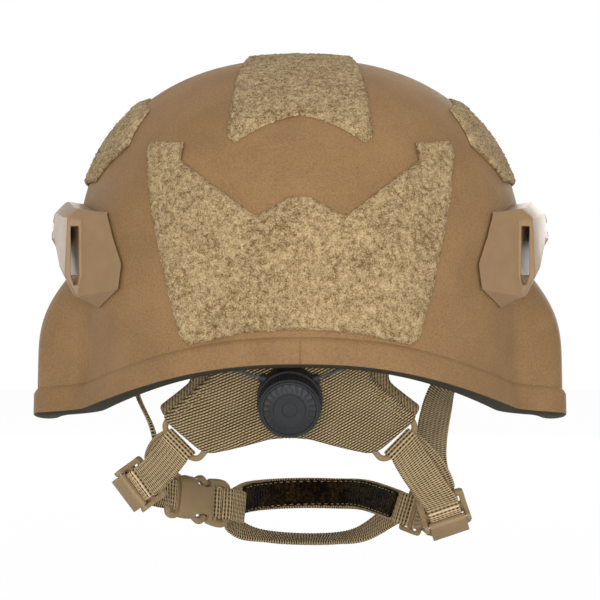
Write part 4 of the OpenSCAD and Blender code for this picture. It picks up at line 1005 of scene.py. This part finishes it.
def nape_cradle():
    """The woven cover with its stitches, and the pad behind it."""
    def lay(p, w):
        return nape(p[:, 0], p[:, 1], w)

    def puff(p, d):
        sag = 0.5 * np.minimum(d / 9, 1) + 0.28 * ripple(p, 16, 11)
        crease = 0.35 * ripple(p, 7, 12) * smooth((np.abs(p[:, 0]) - 30) / 20)
        tape = 0.7 * smooth((4.6 - d) / 0.5) * (p[:, 1] > -3)
        return (sag + crease) * smooth(d / 3) + tape

    cover = slab("nape_cover_cloth", soften(mirrored(NAPE_COVER), 2.5), lay, -cover_t, 0, step=0.9, edge=0.8,
                 finish=WEAVE, body="nape", relief=puff)
    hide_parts("nape_cover")

    def waves(p, d):
        return 0.3 * ripple(p, 14, 13) * smooth(d / 4)

    def lay_pad(p, w):
        lower = w < pad_hi - nape_pad_t / 2
        swell = 2.5 * smooth((60 - np.abs(p[:, 0])) / 26) * smooth((26 - np.abs(p[:, 1] + 1)) / 20)
        return nape(p[:, 0], p[:, 1], w - np.where(lower, swell, 0))

    pad = slab("nape_pad_cushion", soften(mirrored(NAPE_PAD), 5), lay_pad, pad_hi - nape_pad_t + 2.5, pad_hi,
               step=1.2, edge=3.4, finish=NAPE_TAN, body="nape", relief=waves, low_edge=3.4)
    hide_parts("nape_pad")
    corner, top = vec(56, -15.5), vec(35, 6.5)
    across = unit(vec(-(top - corner)[1], (top - corner)[0]))
    for side in (-1, 1):
        for inset in (1.5, 3.9):
            uv = [mix(corner, top, k) + across * inset for k in np.linspace(0.12, 0.94, 30)]
            line = [nape(side * q[0], q[1], 0.9) for q in uv]
            stitches(f"cover_stitches_{SIDE_NAME[side]}_{int(inset)}", line, [NAPE_W] * 30, "nape",
                     length=1.7, gap=0.8, r=0.24)


# Strap rings at the cradle's lower corners: the ends of the right one's bar in u and v, and its thickness
ring_a, ring_b = vec(57.5, -22.4), vec(41, -35.3)
ring_u = (ring_a[0] + ring_b[0]) / 2
ring_turn = math.atan(ring_u / nape_curve)
ring_bar = 2.6
yoke_w = -cover_t - layer_gap - yoke_t / 2

# Strap adjusters: their middles, the way their bars run, and the sizes of frame, bars and windows
ADJUSTER = {-1: vec(-72, -52, -30), 1: vec(65.5, -51, -43)}
BAR_DIR = {-1: vec(-0.6, 0, 0.8), 1: vec(-0.95, 0, -0.32)}
frame_l = 22
frame_t = 2.6
bar_w = 3
window_h = 5.8
bar_y = (frame_l - bar_w) / 2
bar_r = 2.3


def ring_point(side, q):
    """A point of a ring from u and v on the right side."""
    across = vec(side * math.cos(ring_turn), 0, 0) - NAPE_W * math.sin(ring_turn)
    return nape(side * ring_u, 0, yoke_w - ring_drop) + across * (q[0] - ring_u) + NAPE_V * q[1]


def ring_centre(side):
    return ring_point(side, (ring_a + ring_b) / 2)


def ring_dir(side):
    return unit(ring_point(side, ring_a) - ring_point(side, ring_b))


def adj_point(side, q):
    """A point of an adjuster: along its bars, along its straps, out of its face."""
    return placed(ADJUSTER[side], BAR_DIR[side], ADJUSTER[side] - ring_centre(side), q)


# Buckle: the bar of its plug's strap, the point that it runs towards, and the way it stands. Then the
# thickness of that bar, how far its strap lies off the adjuster's middle, and the bar at the other end
BUCKLE_FROM, BUCKLE_TO, BUCKLE_UP = vec(-60, -34, -36), vec(-34, -6, -43), vec(0.1, 0.25, 1)
plug_bar = 3
plug_shift = 1.7
end_bar_d = 3
end_bar_x = 13 + 25 - end_bar_d / 2

# Slider: its middle, the ways it runs and stands, its length, thickness and width of bar
SLIDER, SLIDER_RUN, SLIDER_UP = vec(53.5, -19, -45.5), vec(20, -29, -8), vec(0.3, 0, 1)
slider_l = 14
slider_t = 2.6
slider_bar = 1.4

# Chin strap: its thickness and its lining's, the steps of its route from point to point, and how much of it
# the lining leaves bare at each end, in quarters of the way from point to point
chin_t = 2
lining_t = 1.4
per_point = 12
LINING_TRIM = (23, 17)


def buckle_point(q):
    """A point of the buckle: along it, across it, out of its face."""
    return placed(BUCKLE_FROM, BUCKLE_TO - BUCKLE_FROM, BUCKLE_UP, q)


def slider_point(q):
    """A point of the slider: along its bars, along its straps, out of its face."""
    return placed(SLIDER, SLIDER_UP, SLIDER_RUN, q)


# Sideways shift of the two layers of each rear strap
STRAP_SKEW = {-1: (3.6, -0.8), 1: (-0.8, 3.6)}


def cradle_straps():
    """Doubled webbing from the cradle's rings to the adjusters, and the hanger tabs."""
    for side in (-1, 1):
        bar = adj_point(side, (0, -bar_y, 0))
        rings = belt_rings(ring_centre(side), ring_dir(side), ring_bar / 2 + seat, bar, -side * BAR_DIR[side],
                           bar_r, web_t, skew=STRAP_SKEW[side])
        made = strap(f"rear_strap_{SIDE_NAME[side]}_web", *rings, web_w + 0.6, web_t, WEB, None, closed=True)
        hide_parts(f"rear_strap_{SIDE_NAME[side]}")
        ring_centre(side) * MM
        bar * MM
        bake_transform(made)
    tab_u = 38
    across = vec(1, 0, 0)
    for side in (-1, 1):
        foot = nape(side * tab_u, 24, pad_hi - nape_pad_t / 2)
        x = nape_x + side * tab_u
        rings = belt_rings(vec(x, -106, 48), across, 1.25 + seat,
                           vec(x, foot[1], foot[2] + 0.5 + web_t + seat), across, 0.5, web_t)
        made = strap(f"hanger_tab_{SIDE_NAME[side]}", *rings, web_w, web_t, WEB_DARK, "nape", closed=True)
    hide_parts("nape_hanger")


def laces():
    """Twisted laces from the dial's ports up to the guides on the shell's inner wall."""
    def guide(x, z):
        return on_back(np.array([[x, z]]), -shell_t)[0] + vec(0, guide_stand, 0)

    port = vec(8, 8, 3.4)
    port_end = port + unit(vec(0.93, 0.36, 0)) * 5
    left = vec(-1, 1, 1)
    routes = {
        "left": [nape_frame(*(port * left)), nape_frame(*(port_end * left)), (-28, nape_y - 5.5, 23),
                 (-41, nape_y - 1, 29), guide(-58, 38.5)],
        "right": [nape_frame(*port), nape_frame(*port_end), (19.5, nape_y - 6.5, 24),
                  (33, nape_y - 4.5, 30), guide(52, 39.5)]}
    radius = 0.6
    for name, route in routes.items():
        line = curve(route, 28)
        t = unit(np.gradient(line, axis=0))
        w = second(t, vec(0, 0.3, 1))
        f = np.cross(t, w)
        turn = np.radians(np.arange(0, 360, 30))
        twist = np.arange(len(line))[:, None] * 0.5
        r = radius * (1 + 0.07 * np.cos(3 * turn[None] + twist) * np.cos(3 * turn[None] - twist))
        points = (line[:, None] + f[:, None] * (np.cos(turn)[None, :] * r)[..., None]
                  + w[:, None] * (np.sin(turn)[None, :] * r)[..., None])
        made = piece(f"lace_{name}_cord", points, tube_faces(len(line), len(turn)), LACE, None, sharp=80)
        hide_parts(f"lace_{name}")
        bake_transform(made)


# Shares of each side strap's length where it turns to face the rear, and then to the adjuster's bars
SIDE_TURNS = {-1: ((0.5, 0.08), (0.5, 0.08)), 1: ((0.05, 0.55), (0.42, 0.12))}


def side_straps():
    """Webbing from under the front rail screws down to the adjusters, turned round their middle bars."""
    wrap_y = frame_l / 4 - window_h / 2 + seat + web_t / 2
    wrap_z = frame_t / 2 + seat + web_t / 2
    turns = [(0, wrap_y - 3.9, -9), (0, wrap_y, -2), (0, wrap_y - 0.3, wrap_z - 0.3), (0, 0, wrap_z),
             (0, 0.3 - wrap_y, wrap_z - 0.3), (0, -wrap_y, -2), (0, -wrap_y - 0.2, -8)]
    lines = {-1: [(-90, 24, 56), (-83, 14, 28), (-76.5, 4, 8), (-67.5, -39, -8)],
             1: [(89, 24, 56), (79, 14, 32), (66.5, 2, 8), (60.5, -30, -16)]}
    screw_t, screw_z = 17, 86
    anchor_o = 1 + web_t / 2
    for side, middle in lines.items():
        def anchor(drop, o):
            return surf(screw_t, screw_z - drop, -shell_t - o) * vec(side, 1, 1)

        def width_dir(share):
            (first_at, first_over), (last_at, last_over) = SIDE_TURNS[side]
            level = mix(vec(side * 0.05, 1, 0), vec(1, 0, 0), smooth((share - first_at) / first_over))
            return mix(level, -BAR_DIR[side], smooth((share - last_at) / last_over))

        route = [anchor(-9, anchor_o), anchor(12, anchor_o + 0.1)] + [vec(*p) for p in middle]
        route += [adj_point(side, q) for q in turns]
        rings = line_rings(curve(route, 12), width_dir)
        # The side straps take the lighter copy of the webbing: painted light where the shell shades them
        made = strap(f"side_strap_{SIDE_NAME[side]}_web", *rings, web_w, web_t, WEB_PAINTED_LIT, "shell")
        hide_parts(f"side_strap_{SIDE_NAME[side]}")


def chin_straps():
    """The strap between the adjusters: buckle webbing, the upper strap with its lining, the lower strap."""
    plug_dir = -second(BUCKLE_TO - BUCKLE_FROM, BUCKLE_UP)
    plug_end = buckle_point((0, 0, 0))
    left_bar = adj_point(-1, (plug_shift, bar_y, 0))
    rings = belt_rings(left_bar, -BAR_DIR[-1], bar_r, plug_end, plug_dir, plug_bar / 2 + seat, web_t)
    made = strap("plug_strap_web", *rings, web_w - 1.6, web_t, WEB_DARK, None, closed=True)
    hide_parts("plug_strap")
    left_bar * MM
    plug_end * MM
    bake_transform(made)
    slider_bar_y = (slider_l - slider_bar) / 2
    slider_end = slider_point((0, slider_bar_y, 0))
    right_bar = adj_point(1, (0, bar_y, 0))
    rings = belt_rings(slider_end, SLIDER_UP, 1.9, right_bar, -BAR_DIR[1], bar_r, web_t)
    made = strap("chin_tail_web", *rings, web_w - 0.6, web_t, WEB, None, closed=True)
    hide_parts("chin_tail")
    slider_end * MM
    right_bar * MM
    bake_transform(made)

    def turned(x, r, l):
        """The turn round a bar at x, in the plane across the bar, with a run-out of length l."""
        h = chin_t / 2 + 0.15
        m = mix(h, r, 0.6)
        return [(x + l, h), (x + 0.45 * l, m), (x, r), (x - r, 0), (x, -r), (x + 0.45 * l, -m)]

    def upright(share):
        return mix(BUCKLE_UP, SLIDER_UP, smooth(2 * share - 0.5))

    socket_r = end_bar_d / 2 + 2 * seat + chin_t / 2
    slider_r = math.hypot(slider_bar, slider_t) / 2 + 2 * seat + chin_t / 2
    front = [buckle_point((q[0], 0, q[1])) for q in turned(end_bar_x, socket_r, 12)]
    front += [vec(*p) for p in ((-26, 16, -41), (-14, 33, -40.5), (2, 39, -40.3), (18, 35, -40.3),
                                (31, 19.5, -40))]
    front += [slider_point((0, -q[0], -q[1])) for q in turned(slider_bar_y, slider_r, 9)]
    points, faces, widths = line_rings(curve(front, per_point), upright)
    made = strap("chin_strap_front_web", points, faces, widths, web_w, chin_t, WEB_DARK, "chin")
    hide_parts("chin_strap_front")
    bare_start, bare_end = [quarters * per_point // 4 for quarters in LINING_TRIM]
    lined = slice(bare_start, len(points) - bare_end)
    lift = (chin_t + lining_t) / 2 + seat
    made = strap("chin_lining_plush", (points + faces * lift)[lined], faces[lined], widths[lined],
                 web_w - 2.4, lining_t, PLUSH, "chin", relief=0.3, plush=True)
    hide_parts("chin_lining")
    for edge, name in ((-1, "lower"), (1, "upper")):
        row = points + faces * (lift + lining_t / 2 + 0.25) + widths * edge * (web_w / 2 - 2)
        stitches(f"lining_stitches_{name}", row[lined], faces[lined], "chin", r=0.2)

    def lying(share):
        return mix(vec(0, 0.25, 1), vec(0, 0.95, 0.3), smooth(3.6 * min(share, 1 - share) - 0.3))

    lower = [buckle_point((43.5, -2.5, -5.4)), buckle_point((49.5, -5.5, -8.4)), (-27, 14, -56.5),
             (-15, 21, -60), (1, 25, -61.5), (18, 22, -60.8), (31, 13, -57), slider_point((-5.5, -21, 4.2)),
             slider_point((-2.5, -14.5, 2))]
    rings = line_rings(curve([vec(*p) for p in lower], per_point), lying)
    made = strap("chin_strap_lower_web", *rings, web_w - 3, chin_t, WEB_DARK, "chin")
    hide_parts("chin_strap_lower")


# Buckle
def hollow(name, outer, inner, kept, finish, body):
    """A thin wall between two closed sleeves of points (rows along, columns round), with openings where
    kept is False, its ends and openings closed off from the outer to the inner skin."""
    rows, cols = outer.shape[:2]
    n = rows * cols
    skin = []
    for i in range(rows - 1):
        for j in range(cols):
            if kept[i][j]:
                a, b = i * cols + j, i * cols + (j + 1) % cols
                skin.append((a, b, b + cols, a + cols))
    faces = []
    for quad in skin:
        faces += [quad, tuple(q + n for q in quad[::-1])]
    faces += [(b, a, a + n, b + n) for a, b in rim_edges(skin)]
    return piece(name, [outer, inner], faces, finish, body, sharp=48)


def oval(x, wide, thick, turn, power=3.2):
    """Points of a rounded section across the buckle at x."""
    c, s = np.cos(turn), np.sin(turn)
    r = (np.abs(c) ** power + np.abs(s) ** power) ** (-1 / power)
    return [buckle_point((x, wide * k, thick * m)) for k, m in zip(c * r, s * r)]


def rod(name, route, radii, body, squash=1.0):
    """A round bar of the buckle's nylon along a route, its radius given along it."""
    route, radii = np.asarray(route, float), np.asarray(radii, float)
    t = unit(np.gradient(route, axis=0))
    w = second(t, vec(0.2, 0.3, 1))
    f = np.cross(t, w)
    turn = np.radians(np.arange(20) * 360 / 20)
    points = (route[:, None] + f[:, None] * (np.cos(turn)[None] * radii[:, None])[..., None]
              + w[:, None] * (np.sin(turn)[None] * radii[:, None] * squash)[..., None])
    return piece(name, points, tube_faces(len(route), len(turn)), BUCKLE_TAN, body, sharp=60)


def domed(n, r):
    """Radii along a bar that swell to r within its first and last steps."""
    k = np.linspace(0, 1, n)
    ends = np.minimum(k, 1 - k) * n / 3
    return r * np.sqrt(np.clip(1 - (1 - np.minimum(ends, 1)) ** 2, 0.05, 1))


# Along the buckle from its plug's strap: the body, its windows, and the middle bar of the strap's frame
BODY_FROM, BODY_TO = 4.2, 26.0
WINDOW_FROM, WINDOW_TO = 15.0, 23.5
middle_bar_x = 30.0


def buckle_body():
    """The buckle's waisted body with its side windows."""
    turn = np.radians(np.arange(0, 360, 7.5))
    xs = np.linspace(BODY_FROM, BODY_TO, 30)
    share = (xs - BODY_FROM) / (BODY_TO - BODY_FROM)
    waist = 1.5 * np.exp(-((xs - 19.5) / 4.2) ** 2)
    wide = 10 - 0.9 * smooth(1 - share * 5) - waist
    thick = 3.5 + 0.9 * np.sin(np.pi * share) ** 0.6
    wall_y, wall_z = 1.5, 1.2
    outer = np.array([oval(x, a, b, turn) for x, a, b in zip(xs, wide, thick)])
    inner = np.array([oval(x, a - wall_y, b - wall_z, turn) for x, a, b in zip(xs, wide, thick)])
    side = np.abs(np.sin(turn)) < 0.72
    middle = (xs[1:] + xs[:-1]) / 2
    windowed = (WINDOW_FROM < middle) & (middle < WINDOW_TO)
    kept = ~(windowed[:, None] & side[None])
    made = hollow("buckle_body", outer, inner, kept, BUCKLE_TAN, "chin")
    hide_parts("buckle_socket")


def buckle_frame():
    """The rails and bars that hold the strap, the body's closed end, and the webbing round the middle bar."""
    for k, name in ((-1, "lower"), (1, "upper")):
        bent = [(24.6, 8.6), (27, 9.0), (30, 9.4), (33, 9.5), (35.5, 9.2), (37.4, 8.0), (38, 6.2)]
        line = curve([buckle_point((x, k * y, 0)) for x, y in bent], 6)
        rod(f"buckle_rail_{name}", line, domed(len(line), 1.5), "chin", 1.25)
    for name, x in (("end", end_bar_x), ("middle", middle_bar_x)):
        line = [buckle_point((x, y, 0)) for y in np.linspace(-9.3, 9.3, 12)]
        rod(f"buckle_{name}_bar", line, np.full(12, 1.45), "chin")
    turn = np.radians(np.arange(0, 360, 7.5))
    wall = [oval(25.6, 9.0, 3.5, turn), oval(26.4, 8.6, 3.1, turn)]
    faces = tube_faces(len(wall), len(turn), flip=False)
    piece("buckle_body_end", wall, faces, BUCKLE_TAN, "chin", sharp=48)
    bar = buckle_point((middle_bar_x, 0, 0))
    down = (buckle_point((1, 0, -0.7)) - buckle_point((0, 0, 0))) * 1.5
    across = -second(BUCKLE_TO - BUCKLE_FROM, BUCKLE_UP)
    rings = belt_rings(bar, across, 1.7, bar + down, across, 1.7, web_t)
    wrap = strap("buckle_wrap_web", *rings, web_w - 0.8, web_t, WEB_DARK, "chin", closed=True)


def buckle_plug():
    """The plug: shoulders in the body's mouth, a loop for its strap, and two sprung arms."""
    turn = np.radians(np.arange(0, 360, 10))
    shoulders = [(3.4, 0.8), (3.7, 0.9), (4.4, 0.97), (5.6, 1), (7.5, 1), (9.5, 1), (11, 0.98), (12, 0.9),
                 (12.4, 0.8)]
    block = [oval(x, 8.1 * swell, 2.15 * swell, turn) for x, swell in shoulders]
    faces = tube_faces(len(block), len(turn), flip=False)
    plug = piece("buckle_plug_block", block, faces, BUCKLE_TAN, "chin", sharp=48)
    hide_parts("buckle_plug")
    half = [(6.5, 7.6), (3.6, 9.0), (1, 9.2), (-0.6, 8.2), (-0.8, 6)]
    loop = half + [(-0.8, 0)] + [(x, -y) for x, y in half[::-1]]
    line = curve([buckle_point((x, y, 0)) for x, y in loop], 6)
    rod("buckle_plug_loop", line, domed(len(line), 1.35), "chin", 1.3)
    sprung = [(9.4, 6.6), (12, 7.4), (15, 8.0), (17.5, 9.4), (20, 9.7), (22, 8.4), (23.2, 7.0)]
    for k, name in ((1, "upper"), (-1, "lower")):
        line = curve([buckle_point((x, k * y, 0)) for x, y in sprung], 6)
        swell = 1 + 0.35 * smooth((np.linspace(0, 1, len(line)) - 0.45) / 0.3)
        arm = rod(f"latch_arm_{name}_prong", line, domed(len(line), 1.25) * swell, f"latch_{name}", 1.15)
        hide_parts(f"latch_arm_{name}")


# Plate, dial and hardware
def cradle_plate():
    """The cradle's plate, with round loops let into its corners for the rear straps. Each loop's line starts
    in the plate, follows the bar from its one end to the other, and ends in the plate."""
    plate = [(0, -12), (28, -17), (34.2, -27.6), (36.8, -29.9), (53.3, -17), (51.3, -14.3), (44, -4), (30, 8),
             (0, 10)]

    def lay(p, w):
        return nape(p[:, 0], p[:, 1], w - ring_drop * smooth((np.abs(p[:, 0]) - 26) / 12))

    made = slab("nape_yoke_plate", soften(mirrored(plate), 1.6), lay, yoke_w - yoke_t / 2,
                yoke_w + yoke_t / 2, step=1.6, edge=0.4, finish=BUCKLE_TAN, body="nape")
    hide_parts("nape_yoke")
    e = unit(ring_b - ring_a)
    out = vec(-e[1], e[0])
    corner = 4.6
    a, b = ring_a - e * 0.4, ring_b + e * 0.4
    uv = [a - out * 11, a - out * 7, a - out * corner]
    uv += [a + e * corner - out * corner + (-e * math.cos(k) + out * math.sin(k)) * corner
           for k in np.radians([15, 30, 45, 60, 75, 90])]
    uv += [mix(a, b, 0.5)]
    uv += [b - e * corner - out * corner + (e * math.sin(k) + out * math.cos(k)) * corner
           for k in np.radians([0, 15, 30, 45, 60, 75])]
    uv += [b - out * corner, b - out * 7, b - out * 11]
    for side in (-1, 1):
        line = curve([ring_point(side, q) for q in uv], 4)
        rod(f"ring_{SIDE_NAME[side]}_loop", line, domed(len(line), 1.35), "nape")


def dial_face():
    """The dial's cap: a plain raised ring and radial grip marks round a low boss."""
    face_w = 0.3 + 7.4 + 0.3 + 9
    grips = 24
    turn = np.linspace(0, 2 * math.pi, 96, endpoint=False)
    profile = [(11.4, -1.1), (11.4, -0.15), (11.1, 0.05), (8.9, 0.05), (8.5, 0.45), (7.2, 0.5), (6.8, 0.1),
               (3.4, 0.1), (3.0, 0.5), (0.4, 0.55)]
    rows = []
    for r, w in profile:
        ridge = 0.35 * np.maximum(0, np.cos(turn * grips)) * (8.6 < r < 11.3)
        rows.append([nape_frame(r * math.cos(k), r * math.sin(k), face_w + w + m)
                     for k, m in zip(turn, ridge)])
    made = piece("dial_cap_face", rows, tube_faces(len(profile), len(turn)), BLACK, "dial", sharp=35)
    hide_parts("dial_cap")


def hardware():
    """Rigid pieces keep their CAD shape, the larger ones with their edges rounded."""
    for node in ("rail_left", "rail_right"):
        softened(node, 0.35, TAN, angle=13, sharp=13)
    for node in ("chin_slider", "adjuster_left", "adjuster_right", "cam_lever_left", "cam_lever_right"):
        softened(node, 0.3, BUCKLE_TAN)
    softened("shroud", 0.4, BLACK_METAL)
    dress(BLACK_METAL, "rail_screws", "rail_nuts", "shroud_screws", "shroud_nuts", "hanger_brackets",
          "strap_eyelets")
    dress(BLACK, "hook_discs", "lace_guides", "dial_housing", "dial_knob", "pawl_ring", "lace_spool")
    dress(STEEL, "cam_pins", "dial_screw")


# Camera, lights and surroundings. Each lamp's place and size in metres, and its power
LAMP_AIM = (0, 0, 0.05)
LAMPS = {"key_lamp": ((-0.5, -1.95, 0.4), (0.9, 0.9), 10.5),
         "low_lamp": ((0.25, -1.9, 0), (1.6, 0.18), 12),
         "fill_lamp": ((1.4, -1.3, 0.2), (1.2, 0.5), 2.5),
         "top_lamp": ((0, 0.3, 1.8), (1.6, 1.6), 6),
         "front_lamp": ((0.5, 2.0, 0.5), (1.4, 0.9), 17),
         "side_lamp": ((-1.5, 1.6, 0.3), (1.0, 0.8), 6)}


def area_light(name, place, size, power):
    """A soft lamp that looks at LAMP_AIM."""
    data = bpy.data.lights.new(name, "AREA")
    data.shape = "RECTANGLE"
    data.size, data.size_y = size
    data.energy = power
    lamp = bpy.data.objects.new(name, data)
    lamp.location = place
    lamp.rotation_euler = (Vector(LAMP_AIM) - Vector(place)).to_track_quat("-Z", "Y").to_euler()
    bpy.context.scene.collection.objects.link(lamp)


def pale_floor():
    """A floor that the camera sees as white and that keeps the helmet's shadow."""
    f = Finish("pale_floor")
    seen = f.node("ShaderNodeLightPath", {}, {}, out="Is Camera Ray")
    glow = f.node("ShaderNodeEmission", {}, {"Color": (1, 1, 1, 1)})
    pale = f.colour(f.grain(60, 2), paint(244, 244, 244), paint(250, 250, 250))
    matt = f.node("ShaderNodeBsdfDiffuse", {}, {"Color": pale})
    both = f.node("ShaderNodeMixShader", {}, {0: seen * 0.97, 1: matt, 2: glow})
    f.node("ShaderNodeOutputMaterial", {}, {"Surface": both})
    half, z = 4000, -110
    corners = [(-half, -half, z), (half, -half, z), (half, half, z), (-half, half, z)]
    floor = piece("floor", corners, [(0, 1, 2, 3)], f.owner, None)
    floor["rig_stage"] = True


def white_world():
    """A world that is white to the camera and in reflections, and dimmer as a light."""
    world = bpy.data.worlds.new("studio")
    bpy.context.scene.world = world
    f = Finish("studio", world)
    camera_ray = f.node("ShaderNodeLightPath", {}, {}, out="Is Camera Ray")
    glossy_ray = f.node("ShaderNodeLightPath", {}, {}, out="Is Glossy Ray")
    seen = camera_ray.math("MAXIMUM", glossy_ray)
    strength = f.node("ShaderNodeMapRange", {}, {"Value": seen, "To Min": 0.48, "To Max": 1.0})
    background = f.node("ShaderNodeBackground", {}, {"Color": (1, 1, 1, 1), "Strength": strength})
    f.node("ShaderNodeOutputWorld", {}, {"Surface": background})


def studio():
    """Camera at the photo's angle, lamps, world and floor."""
    scene = bpy.context.scene
    scene.view_settings.view_transform = "Standard"
    distance, height, view_deg = 1.4, 0.0533, 11.55
    camera = bpy.data.objects.new("camera", bpy.data.cameras.new("camera"))
    camera.data.angle = math.radians(view_deg)
    camera.data.clip_start = 0.05
    camera.location = (0, -distance, height)
    camera.rotation_euler = (math.radians(90), 0, 0)
    scene.collection.objects.link(camera)
    scene.camera = camera
    for name, (place, size, power) in LAMPS.items():
        area_light(name, place, size, power)
    white_world()
    pale_floor()


shell_skin()
edge_trim()
loop_panels()
comfort_pads()
nape_cradle()
cradle_straps()
laces()
side_straps()
chin_straps()
buckle_body()
buckle_frame()
buckle_plug()
cradle_plate()
dial_face()
hardware()
studio()

seen_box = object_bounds()
[[list(map(float, corner)) for corner in box] for box in (cad_box, seen_box)]
